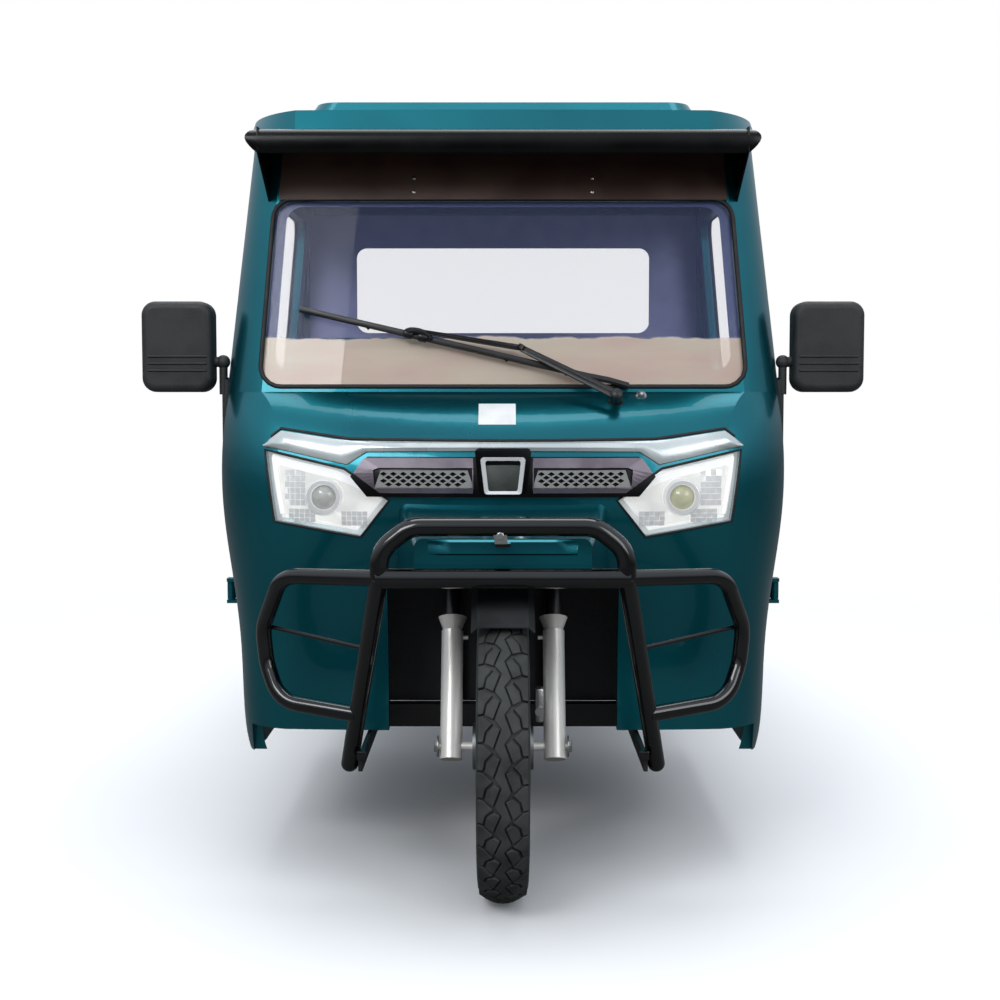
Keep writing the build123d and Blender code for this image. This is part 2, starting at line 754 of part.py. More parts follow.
# Chassis: low rails under the cab, risers, high rails under the bed, cross members and the steering head
steer_x = Vector(1, 0, 0)
steer_z = Vector(0, sin(radians(rake_deg)), cos(radians(rake_deg)))
steer_n = steer_z.cross(steer_x)
axle_point = Vector(0, 0, front_tyre_radius)
steer_plane = Plane(origin=axle_point + steer_n * axle_lead, x_dir=steer_x, z_dir=steer_z)


def steered(shape):
    """Place a piece that is modelled upright on the steering axis, with Z along it and Y to its rear."""
    return steer_plane.location * shape


def bar(x, n, s):
    """A box in the steering axis's own directions."""
    size = [high - low for low, high in (x, n, s)]
    middle = [(high + low) / 2 for low, high in (x, n, s)]
    return steered(Pos(*middle) * Box(*size))


def steer_rod(x, n, low, high, radius):
    return steered(
        Pos(x, n, low) * Cylinder(radius, high - low, align=(Align.CENTER, Align.CENTER, Align.MIN))
    )


rail_top_z = floor_top_z - floor_plate
rail_low_z = rail_top_z - rail_height
rail_inner, rail_outer = rail_x - rail_width / 2, rail_x + rail_width / 2
rail_front_y = 345
riser_y = (1252, 1292)
bed_rear_y = bed_front_y + bed_length
chassis_parts = []
for side in (-1, 1):
    across = sorted((side * rail_inner, side * rail_outer))
    chassis_parts.append(block(across, (rail_front_y, riser_y[1]), (rail_low_z, rail_top_z)))
    chassis_parts.append(block(across, riser_y, (rail_low_z, rear_rail_top_z)))
    chassis_parts.append(block(across, (riser_y[0], bed_rear_y), (rear_rail_bottom_z, rear_rail_top_z)))
    post = sorted((side * 92, side * 128))
    chassis_parts.append(block(post, (rail_front_y, rail_front_y + 36), (rail_low_z, 760)))
    plate_out = leg_foot[0] - guard_tube
    plate = sorted((side * (plate_out - 8), side * plate_out))
    chassis_parts.append(block(plate, (-40, rail_front_y + 10), (rail_low_z - 4, 294)))
for cross_y in (rail_front_y, 800):
    chassis_parts.append(block((-rail_outer, rail_outer), (cross_y, cross_y + 36), (rail_low_z, rail_top_z)))
for cross_y in (riser_y[0], 1700, 2300, bed_rear_y - 40):
    chassis_parts.append(
        block((-rail_outer, rail_outer), (cross_y, cross_y + 40), (rear_rail_bottom_z, rear_rail_top_z))
    )
neck = block((-128, 128), (rail_front_y, rail_front_y + 36), (700, 760))
neck_arm = bar((-22, 22), (10, 110), (470, 530))
head_low = lower_crown_at + crown_thickness / 2 + head_gap
head_high = upper_crown_at - crown_thickness / 2 - head_gap
head_tube = steer_rod(0, 0, head_low, head_high, head_tube_radius)
chassis = chassis_parts[0].fuse(*chassis_parts[1:], neck, neck_arm, head_tube)
chassis = chassis - steer_rod(0, 0, head_low - 5, head_high + 5, stem_radius + running_clearance)
bearer_count = 6
for index in range(bearer_count):
    y = bed_front_y + 30 + index * (bed_length - 100) / (bearer_count - 1)
    chassis = chassis + block(
        (-bed_half_width + 30, bed_half_width - 30), (y, y + 40),
        (rear_rail_top_z, bed_floor_z - bed_floor_plate),
    )
chassis = chassis - guard_hoop
save("chassis", chassis)

# Steering: stem, crowns and tubes, then the sliders with the axle, the bar and the mudguard
lead = -axle_lead
fork_tubes = steer_rod(0, 0, lower_crown_at - 10, upper_crown_at + 20, stem_radius)
for crown_at in (lower_crown_at, upper_crown_at):
    low, high = crown_at - crown_thickness / 2, crown_at + crown_thickness / 2
    fork_tubes = fork_tubes + bar((-fork_half_span - 26, fork_half_span + 26), (lead - 26, 30), (low, high))
for side in (-1, 1):
    fork_tubes = fork_tubes + steer_rod(
        side * fork_half_span, lead, slider_top + cup_height, upper_crown_at + 24, stanchion_radius,
    )
riser_foot = upper_crown_at + crown_thickness / 2
for side in (-1, 1):
    fork_tubes = fork_tubes + steered(
        rod((side * 45, 0, riser_foot - 5), (side * 45, bar_back, bar_at + 20 - bar_radius - 0.3), 12)
    )

sliders = []
for side in (-1, 1):
    x = side * fork_half_span
    sliders.append(steer_rod(x, lead, -26, slider_top, slider_radius))
    cup = Cone(cup_foot_radius, cup_mouth_radius, cup_height, align=(Align.CENTER, Align.CENTER, Align.MIN))
    sliders.append(steered(Pos(x, lead, slider_top) * cup))
    pin_at = slider_top - pin_below_top
    sliders.append(steered(rod((x, lead, pin_at), (x - side * pin_reach, lead, pin_at), pin_radius)))
axle = rod(
    (-fork_half_span - 34, 0, front_tyre_radius), (fork_half_span + 34, 0, front_tyre_radius), axle_radius,
)
fork_sliders = sliders[0].fuse(*sliders[1:], axle)
save("fork_sliders", fork_sliders)

bar_sweep = 70
bar_middle_half = 190
bar_bend = 60
handlebar = steered(tube(
    [
        (-bar_half_width, bar_back + bar_sweep, bar_at - 10), (-bar_middle_half, bar_back, bar_at + 20),
        (bar_middle_half, bar_back, bar_at + 20), (bar_half_width, bar_back + bar_sweep, bar_at - 10),
    ], bar_radius, bar_bend,
))
save("handlebar", handlebar)
save("fork_tubes", fork_tubes - handlebar)
pod = bar((-95, 95), (bar_back - 50, bar_back + 10), (bar_at + 31.3, bar_at + 80))
save("instrument_pod", pod)

fender_radius = 320
fender_half_width = 60
fender_front_deg = 34
fender_rear_deg = 70
fender_profile = make_face(Polyline(
    (-fender_half_width, 0, fender_radius - 14), (-fender_half_width + 12, 0, fender_radius),
    (fender_half_width - 12, 0, fender_radius), (fender_half_width, 0, fender_radius - 14),
    (fender_half_width - 2.5, 0, fender_radius - 15.5), (fender_half_width - 13, 0, fender_radius - 2.5),
    (-fender_half_width + 13, 0, fender_radius - 2.5), (-fender_half_width + 2.5, 0, fender_radius - 15.5),
    close=True,
))
fender = revolve(
    Rot(fender_front_deg, 0, 0) * fender_profile, Axis((0, 0, 0), (-1, 0, 0)),
    fender_front_deg + fender_rear_deg,
)
fender = Pos(0, 0, front_tyre_radius) * fender
fender = fender + bar(
    (-30, 30), (lead - 20, lead + 20), (fender_radius - 3, lower_crown_at - crown_thickness / 2),
)
save("front_mudguard", fender)


# Wheels
# Half of a tyre's section: share of the half width across, share of the wall up from the bead
TYRE_SECTION = [(0.68, 0), (1, 0.5), (0.87, 0.82), (0.34, 1)]


def tyre(radius, width, bead):
    """A tyre: bead, bulging walls and a crown in flats, turned about the X axis."""
    half = width / 2
    right = [(half * across, bead + (radius - bead) * up) for across, up in TYRE_SECTION]
    left = [(-x, r) for x, r in reversed(right)]
    return revolve(make_face(Polyline(*[(x, 0, r) for x, r in right + left], close=True)), Axis.X)


def ring(outer, inner, low_x, high_x):
    """A ring or disc turned about the X axis."""
    face = make_face(
        Polyline((low_x, 0, inner), (high_x, 0, inner), (high_x, 0, outer), (low_x, 0, outer), close=True)
    )
    return revolve(face, Axis.X)


front_centre = Pos(0, 0, front_tyre_radius)
save("front_tyre", front_centre * tyre(front_tyre_radius, front_tyre_width, front_bead_radius))
front_rim_half = 36
spoke_count = 6
front_hub_half = 60
front_rim = ring(front_bead_radius, front_bead_radius - 18, -front_rim_half, front_rim_half)
front_rim = front_rim + ring(
    46, axle_radius + running_clearance, -front_hub_half, front_hub_half,
) + ring(78, 40, 20, front_hub_half - 6)
for index in range(spoke_count):
    spoke = block((-14, 14), (-17, 17), (42, front_bead_radius - 14))
    front_rim = front_rim + Rot(index * 360 / spoke_count, 0, 0) * spoke
save("front_rim", front_centre * front_rim)

stub_radius = 15
rear_rim_half = 46
wheel_x = rear_track / 2
rear_centre = Pos(wheel_x, wheelbase, rear_tyre_radius)
rear_tyre = rear_centre * tyre(rear_tyre_radius, rear_tyre_width, rear_bead_radius)
save("rear_tyre_right", rear_tyre)
save("rear_tyre_left", mirror(rear_tyre, about=Plane.YZ))
disc_x = (6, 14)
rear_rim = ring(rear_bead_radius, rear_bead_radius - 12, -rear_rim_half, rear_rim_half)
rear_rim = rear_rim + ring(rear_bead_radius - 8, 50, *disc_x) + ring(
    54, stub_radius + running_clearance, -44, 40,
)
for index in range(6):
    angle = radians(index * 60)
    hole = Pos(10, 100 * cos(angle), 100 * sin(angle)) * Rot(0, 90, 0) * Cylinder(20, 30)
    rear_rim = rear_rim - hole
rear_rim = rear_centre * rear_rim
save("rear_rim_right", rear_rim)
save("rear_rim_left", mirror(rear_rim, about=Plane.YZ))

# Rear axle with its drive unit, and the leaf springs that carry the chassis
axle_tube_radius = 32
rear_axle = rod(
    (-wheel_x + 50, wheelbase, rear_tyre_radius), (wheel_x - 50, wheelbase, rear_tyre_radius),
    axle_tube_radius,
)
rear_axle = rear_axle + rod(
    (-wheel_x - 44, wheelbase, rear_tyre_radius), (wheel_x + 44, wheelbase, rear_tyre_radius), stub_radius,
)
rear_axle = rear_axle + Pos(0, wheelbase, rear_tyre_radius) * Rot(0, 90, 0) * Cylinder(105, 110)
rear_axle = rear_axle + rod(
    (55, wheelbase - 120, rear_tyre_radius + 20), (215, wheelbase - 120, rear_tyre_radius + 20), 82,
)
rear_axle = rear_axle + block(
    (-40, 100), (wheelbase - 130, wheelbase), (rear_tyre_radius - 40, rear_tyre_radius + 60),
)
save("rear_axle", rear_axle)

leaf_width = 50
leaf_thickness = 8
spring_half = 330
spring_eye_z = 500
spring_seat_z = rear_tyre_radius + axle_tube_radius
eye_radius = 18
springs = []
for leaf in range(4):
    reach = spring_half * (1 - leaf * 0.2)
    drop = (spring_eye_z - spring_seat_z - 3.5 * leaf_thickness) * (reach / spring_half) ** 2
    base = spring_seat_z + (3 - leaf) * leaf_thickness
    arc_low = ThreePointArc(
        (0, wheelbase - reach, base + drop), (0, wheelbase, base), (0, wheelbase + reach, base + drop),
    )
    arc_high = ThreePointArc(
        (0, wheelbase - reach, base + drop + leaf_thickness), (0, wheelbase, base + leaf_thickness),
        (0, wheelbase + reach, base + drop + leaf_thickness),
    )
    face = make_face([arc_low, Line(arc_low @ 1, arc_high @ 1), arc_high, Line(arc_high @ 0, arc_low @ 0)])
    springs.append(extrude(face, leaf_width / 2, dir=(1, 0, 0), both=True))
for end in (-1, 1):
    y = wheelbase + end * (spring_half + 6)
    springs.append(rod((-leaf_width / 2, y, spring_eye_z), (leaf_width / 2, y, spring_eye_z), eye_radius))
    springs.append(
        block((-leaf_width / 2, leaf_width / 2), (y - 14, y + 14), (spring_eye_z, rear_rail_bottom_z))
    )
pack_top_z = spring_seat_z + 4 * leaf_thickness
springs.append(block((-34, 34), (wheelbase - 45, wheelbase + 45), (pack_top_z - 2, pack_top_z + 10)))
spring = springs[0].fuse(*springs[1:])
save("leaf_springs", both(Pos(rail_x, 0, 0) * spring))

battery = block((-rail_inner + 20, rail_inner - 20), (1300, 1725), (330, rear_rail_bottom_z))
save("battery_box", battery)

# Cargo bed: floor, headboard and sides as one welded tub, with a tailgate hinged at its foot
bed_top_z = bed_floor_z + bed_side_height
bed = block(
    (-bed_half_width, bed_half_width), (bed_front_y, bed_rear_y),
    (bed_floor_z - bed_floor_plate, bed_floor_z),
)
bed = bed + block(
    (-bed_half_width, bed_half_width), (bed_front_y, bed_front_y + bed_wall), (bed_floor_z, bed_top_z),
)
for side in (-1, 1):
    across = sorted((side * bed_half_width, side * (bed_half_width - bed_wall)))
    bed = bed + block(across, (bed_front_y, bed_rear_y), (bed_floor_z - bed_floor_plate, bed_top_z))
tailgate = block(
    (-bed_half_width, bed_half_width), (bed_rear_y + tailgate_gap, bed_rear_y + tailgate_gap + bed_wall),
    (bed_floor_z, bed_top_z),
)
TAIL_HINGES = (-420, 0, 420)
tail_hinge_y = bed_rear_y + tailgate_gap + bed_wall
tail_hinge_z = bed_floor_z - 16
for tail_hinge_x in TAIL_HINGES:
    pin = rod(
        (tail_hinge_x - half_knuckle - hinge_lug, tail_hinge_y, tail_hinge_z),
        (tail_hinge_x + half_knuckle + hinge_lug, tail_hinge_y, tail_hinge_z), hinge_pin_radius,
    )
    bed = bed + pin
    for end in (-1, 1):
        across = sorted(
            (tail_hinge_x + end * (half_knuckle + 0.5), tail_hinge_x + end * (half_knuckle + hinge_lug))
        )
        bed = bed + block(across, (bed_rear_y - 30, tail_hinge_y + 8), (tail_hinge_z - 8, tail_hinge_z + 8))
        bed = bed + block(
            across, (bed_rear_y - 30, bed_rear_y), (tail_hinge_z, bed_floor_z - bed_floor_plate),
        )
    across = (tail_hinge_x - half_knuckle, tail_hinge_x + half_knuckle)
    knuckle = rod(
        (across[0], tail_hinge_y, tail_hinge_z), (across[1], tail_hinge_y, tail_hinge_z), hinge_knuckle_radius
    ) + block(across, (tail_hinge_y - hinge_knuckle_radius, tail_hinge_y), (tail_hinge_z, bed_floor_z))
    knuckle = knuckle - rod(
        (across[0] - 1, tail_hinge_y, tail_hinge_z), (across[1] + 1, tail_hinge_y, tail_hinge_z),
        hinge_pin_radius + running_clearance,
    )
    tailgate = tailgate + knuckle
save("cargo_bed", bed)
save("tailgate", tailgate)

# Rear mudguards, lamps and bumper
mudguard_plate = 3
mudguard_radius = rear_rail_top_z - rear_tyre_radius - mudguard_plate
mudguard_profile = make_face(Polyline(
    (-rear_tyre_width / 2 - 8, 0, mudguard_radius), (rear_tyre_width / 2 - 2, 0, mudguard_radius),
    (rear_tyre_width / 2 - 2, 0, mudguard_radius + mudguard_plate),
    (-rear_tyre_width / 2 - 8, 0, mudguard_radius + mudguard_plate), close=True,
))
mudguard = revolve(Rot(75, 0, 0) * mudguard_profile, Axis((0, 0, 0), (-1, 0, 0)), 150)
mudguard = rear_centre * mudguard
save("rear_mudguards", both(mudguard))

lamp_size = (150, 12, 80)
lamp_x = 440
lamp_z = 590
tail_lamp = block(
    (lamp_x - lamp_size[0] / 2, lamp_x + lamp_size[0] / 2),
    (bumper_y + 20.3, bumper_y + 20 + lamp_size[1] + 8),
    (lamp_z - lamp_size[2] / 2, lamp_z + lamp_size[2] / 2),
)
save("tail_lamps", both(tail_lamp))
plate_hole_radius = 3.5
plate_hole_spacing = 150
tow_hole_radius = 12
tow_tab = 12
bumper = block((-540, 540), (bed_rear_y, bumper_y + 20), (545, 600))
bumper = bumper - block((-538, 538), (bed_rear_y + 3, bumper_y + 17), (540, 597))
bumper = bumper + block(
    (-520, -360), (bumper_y + 17, bumper_y + 20), (540, 635),
) + block((360, 520), (bumper_y + 17, bumper_y + 20), (540, 635))
bumper = bumper + block((-115, 115), (bumper_y + 17, bumper_y + 20), (470, 597))
for side in (-1, 1):
    bumper = bumper - Pos(
        side * plate_hole_spacing / 2, bumper_y, 530,
    ) * Rot(90, 0, 0) * Cylinder(plate_hole_radius, 80)
bumper = bumper + block((-30, 30), (bumper_y + 16, bumper_y + 58), (572, 572 + tow_tab))
bumper = bumper - Pos(0, bumper_y + 38, 580) * Cylinder(tow_hole_radius, 60)
save("rear_bumper", bumper)
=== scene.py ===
import json
from math import atan, cos, pi, radians, sin, sqrt, tan

import bmesh
import bpy
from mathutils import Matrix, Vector


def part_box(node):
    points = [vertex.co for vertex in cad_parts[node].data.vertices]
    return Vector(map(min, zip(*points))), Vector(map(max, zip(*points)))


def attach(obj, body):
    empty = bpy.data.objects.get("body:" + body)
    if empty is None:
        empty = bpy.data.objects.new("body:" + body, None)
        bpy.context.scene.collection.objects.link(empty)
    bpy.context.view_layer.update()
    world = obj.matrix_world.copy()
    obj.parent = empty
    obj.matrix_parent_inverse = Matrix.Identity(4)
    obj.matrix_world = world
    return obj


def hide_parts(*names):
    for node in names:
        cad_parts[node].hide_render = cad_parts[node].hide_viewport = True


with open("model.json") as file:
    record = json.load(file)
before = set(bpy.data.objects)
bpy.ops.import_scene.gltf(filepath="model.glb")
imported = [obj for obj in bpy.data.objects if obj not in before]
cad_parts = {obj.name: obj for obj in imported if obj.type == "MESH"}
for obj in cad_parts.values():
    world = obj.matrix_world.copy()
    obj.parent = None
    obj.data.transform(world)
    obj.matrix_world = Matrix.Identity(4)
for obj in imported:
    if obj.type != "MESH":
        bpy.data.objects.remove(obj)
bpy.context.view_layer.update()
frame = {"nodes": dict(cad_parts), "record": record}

bl_info = {
    "name": "Enclosed electric tricycle",
    "version": (1, 0, 0),
    "blender": (4, 5, 0),
    "location": "3D View > Sidebar > Tricycle",
    "description": "Dresses the frame of a closed-cab electric tricycle with finishes and fittings",
    "category": "Add Mesh",
}

NODES = frame["nodes"]
MM = 0.001
SIDES = ((1, "right"), (-1, "left"))


# Materials
def linear(colour):
    """An sRGB hex colour as linear RGBA."""
    channels = [int(colour[i:i + 2], 16) / 255 for i in (1, 3, 5)]
    return tuple(c / 12.92 if c <= 0.04045 else ((c + 0.055) / 1.055) ** 2.4 for c in channels) + (1.0,)


def add(tree, kind, settings=None, links=None):
    """A shader node with its settings, and links from other nodes' outputs to its inputs."""
    made = tree.nodes.new(kind)
    for key, value in (settings or {}).items():
        if key in made.inputs:
            made.inputs[key].default_value = value
        else:
            setattr(made, key, value)
    for key, source in (links or {}).items():
        tree.links.new(source, made.inputs[key])
    return made


def start(name):
    """A new material with its shader, its object coordinates in metres, and its tree."""
    material = bpy.data.materials.new(name)
    material.use_nodes = True
    tree = material.node_tree
    shader = tree.nodes["Principled BSDF"]
    place = add(tree, "ShaderNodeTexCoord").outputs["Object"]
    return material, tree, shader, place


def noise(tree, place, size_mm, detail=2.0, stretch=None):
    """Noise whose blotches are about this many millimetres across."""
    if stretch:
        place = add(tree, "ShaderNodeMapping", {"Scale": stretch}, {"Vector": place}).outputs["Vector"]
    return add(
        tree, "ShaderNodeTexNoise", {"Scale": 1 / (size_mm * MM), "Detail": detail}, {"Vector": place},
    ).outputs["Fac"]


def spread(tree, value, low, high, from_low=0.35, from_high=0.65):
    """Noise values stretched to a range of numbers."""
    return add(
        tree, "ShaderNodeMapRange",
        {"From Min": from_low, "From Max": from_high, "To Min": low, "To Max": high}, {"Value": value},
    ).outputs["Result"]


def tint(tree, value, low, high):
    """A colour between two hex colours."""
    ramp = add(tree, "ShaderNodeValToRGB", {}, {"Fac": value})
    ramp.color_ramp.elements[0].color = linear(low)
    ramp.color_ramp.elements[0].position = 0.35
    ramp.color_ramp.elements[1].color = linear(high)
    ramp.color_ramp.elements[1].position = 0.65
    return ramp.outputs["Color"]


def bump(tree, height, depth_mm, strength=1.0):
    """A bump of this depth from a height between 0 and 1."""
    return add(
        tree, "ShaderNodeBump", {"Strength": strength, "Distance": depth_mm * MM}, {"Height": height}
    ).outputs["Normal"]


def maths(tree, operation, *values):
    """The result of a math node on numbers and outputs."""
    made = add(tree, "ShaderNodeMath", {"operation": operation})
    for slot, value in zip(made.inputs, values):
        if isinstance(value, (int, float)):
            slot.default_value = value
        else:
            tree.links.new(value, slot)
    return made.outputs[0]


def simple(name, low, high, rough, size_mm, metallic=0.0, grain_mm=0.0, grain_depth=0.0, coat=0.0, spec=0.5,
           painted_glow=0.0):
    """A finish whose colour and roughness wander a little, with a grain where asked for, and painted light as
    an emission where asked for.
    """
    material, tree, shader, place = start(name)
    wander = noise(tree, place, size_mm, 3.0)
    tree.links.new(tint(tree, wander, low, high), shader.inputs["Base Color"])
    tree.links.new(spread(tree, wander, rough[0], rough[1]), shader.inputs["Roughness"])
    shader.inputs["Metallic"].default_value = metallic
    shader.inputs["Specular IOR Level"].default_value = spec
    shader.inputs["Coat Weight"].default_value = coat
    shader.inputs["Coat Roughness"].default_value = 0.05
    # Painted light: an emission in the lighter colour, for parts that should look lit though no lamp lights
    # them
    shader.inputs["Emission Color"].default_value = linear(high)
    shader.inputs["Emission Strength"].default_value = painted_glow
    if grain_mm:
        grain = noise(tree, place, grain_mm, 2.0)
        tree.links.new(bump(tree, grain, grain_depth), shader.inputs["Normal"])
    return material


def lacquered_steel():
    """Baked teal lacquer on pressed steel: deep colour under a wet clear coat with faint orange peel."""
    material, tree, shader, place = start("teal_lacquer_on_pressed_steel")
    broad = noise(tree, place, 420, 2.0)
    tree.links.new(tint(tree, broad, "#05606d", "#076c78"), shader.inputs["Base Color"])
    shader.inputs["Metallic"].default_value = 0.85
    tree.links.new(spread(tree, broad, 0.26, 0.34), shader.inputs["Roughness"])
    shader.inputs["Coat Weight"].default_value = 0.35
    shader.inputs["Coat Roughness"].default_value = 0.04
    peel = noise(tree, place, 9, 1.0)
    dents = noise(tree, place, 180, 1.0)
    soft = bump(tree, dents, 2.2)
    rough = add(
        tree, "ShaderNodeBump", {"Strength": 0.25, "Distance": 0.15 * MM}, {"Height": peel, "Normal": soft},
    )
    tree.links.new(rough.outputs["Normal"], shader.inputs["Normal"])
    tree.links.new(rough.outputs["Normal"], shader.inputs["Coat Normal"])
    return material


def tyre_rubber():
    """Carbon-black tread rubber: dark grey with a dry bloom and fine moulding grain."""
    material, tree, shader, place = start("moulded_tyre_rubber")
    bloom = noise(tree, place, 45, 4.0)
    tree.links.new(tint(tree, bloom, "#2b2d2c", "#424443"), shader.inputs["Base Color"])
    tree.links.new(spread(tree, bloom, 0.62, 0.82), shader.inputs["Roughness"])
    shader.inputs["Specular IOR Level"].default_value = 0.4
    tree.links.new(bump(tree, noise(tree, place, 1.2), 0.12), shader.inputs["Normal"])
    return material


def window_glass(name, colour, clear, rough=0.0):
    """Toughened glass: a thin tint over a see-through pane with a sharp reflection."""
    material, tree, shader, place = start(name)
    shader.inputs["Base Color"].default_value = linear(colour)
    shader.inputs["Roughness"].default_value = rough
    shader.inputs["IOR"].default_value = 1.5
    shader.inputs["Alpha"].default_value = 1 - clear
    wave = noise(tree, place, 260, 1.0)
    tree.links.new(bump(tree, wave, 0.6, 0.5), shader.inputs["Normal"])
    return material


# Height in metres at which the windscreen's painted-in ground meets its painted-in sky
SCREEN_HORIZON = 1.119


def below_horizon(tree, height, blur):
    """1 below the windscreen's horizon and 0 above it, with a short blend in metres on each side."""
    return spread(tree, height, 0.0, 1.0, SCREEN_HORIZON + blur, SCREEN_HORIZON - blur)


def screen_glass():
    """Windscreen: nearly clear glass with a painted reflection of sandy ground low down and of a violet sky
    above it.
    """
    material, tree, shader, place = start("laminated_windscreen_glass")
    split = add(tree, "ShaderNodeSeparateXYZ", {}, {0: place})
    ripple = maths(
        tree, "MULTIPLY", maths(tree, "SUBTRACT", noise(tree, place, 60, 3.0, (1, 1, 0.1)), 0.5), 0.02,
    )
    # Painted reflection: sandy ground below a wavy horizon, a violet sky above it
    ground = below_horizon(tree, maths(tree, "ADD", split.outputs["Z"], ripple), 0.002)
    painted_ground_reflection = tint(tree, noise(tree, place, 120, 3.0, (0.4, 1, 2)), "#ecdcc8", "#e9cdbf")
    mixed = add(tree, "ShaderNodeMix", {"data_type": "RGBA"}, {"Factor": ground})
    mixed.inputs[6].default_value = linear("#8f9ad0")
    tree.links.new(painted_ground_reflection, mixed.inputs[7])
    tree.links.new(mixed.outputs[2], shader.inputs["Base Color"])
    # The painted ground reflection is also less see-through than the glass above it
    tree.links.new(maths(tree, "MULTIPLY_ADD", ground, 0.46, 0.07), shader.inputs["Alpha"])
    shader.inputs["Roughness"].default_value = 0.0
    shader.inputs["IOR"].default_value = 1.5
    return material


def ceramic_frit():
    """Ceramic border baked on the windscreen, with the windscreen's painted reflection: brown ground low down
    and dark blue sky above.
    """
    material, tree, shader, place = start("baked_ceramic_border")
    ground = below_horizon(tree, add(tree, "ShaderNodeSeparateXYZ", {}, {0: place}).outputs["Z"], 0.003)
    mixed = add(tree, "ShaderNodeMix", {"data_type": "RGBA"}, {"Factor": ground})
    # Painted reflection: dark blue sky above the horizon and brown ground below it
    mixed.inputs[6].default_value = linear("#33406c")
    mixed.inputs[7].default_value = linear("#5f574c")
    tree.links.new(mixed.outputs[2], shader.inputs["Base Color"])
    dots = add(tree, "ShaderNodeTexVoronoi", {"Scale": 1 / (6 * MM)}, {"Vector": place}).outputs["Distance"]
    tree.links.new(spread(tree, dots, 0.55, 0.3, 0.2, 0.5), shader.inputs["Roughness"])
    tree.links.new(bump(tree, dots, 0.2), shader.inputs["Normal"])
    return material


def grained_plastic(name, low, high):
    """Moulded black polypropylene: matt with a leather-like grain and greyed high spots."""
    material, tree, shader, place = start(name)
    wear = noise(tree, place, 60, 4.0)
    tree.links.new(tint(tree, wear, low, high), shader.inputs["Base Color"])
    tree.links.new(spread(tree, wear, 0.48, 0.62), shader.inputs["Roughness"])
    cells = add(
        tree, "ShaderNodeTexVoronoi", {"Scale": 1 / (1.8 * MM)}, {"Vector": place},
    ).outputs["Distance"]
    tree.links.new(bump(tree, cells, 0.18), shader.inputs["Normal"])
    return material


def satin_metal(name, low, high, rough, metallic=1.0, brush=None):
    """Metal with a fine directional finish."""
    material, tree, shader, place = start(name)
    lines = noise(tree, place, 2.0, 2.0, brush or (1, 1, 12))
    tree.links.new(tint(tree, lines, low, high), shader.inputs["Base Color"])
    shader.inputs["Metallic"].default_value = metallic
    tree.links.new(spread(tree, lines, rough - 0.05, rough + 0.05), shader.inputs["Roughness"])
    tree.links.new(bump(tree, lines, 0.03), shader.inputs["Normal"])
    return material


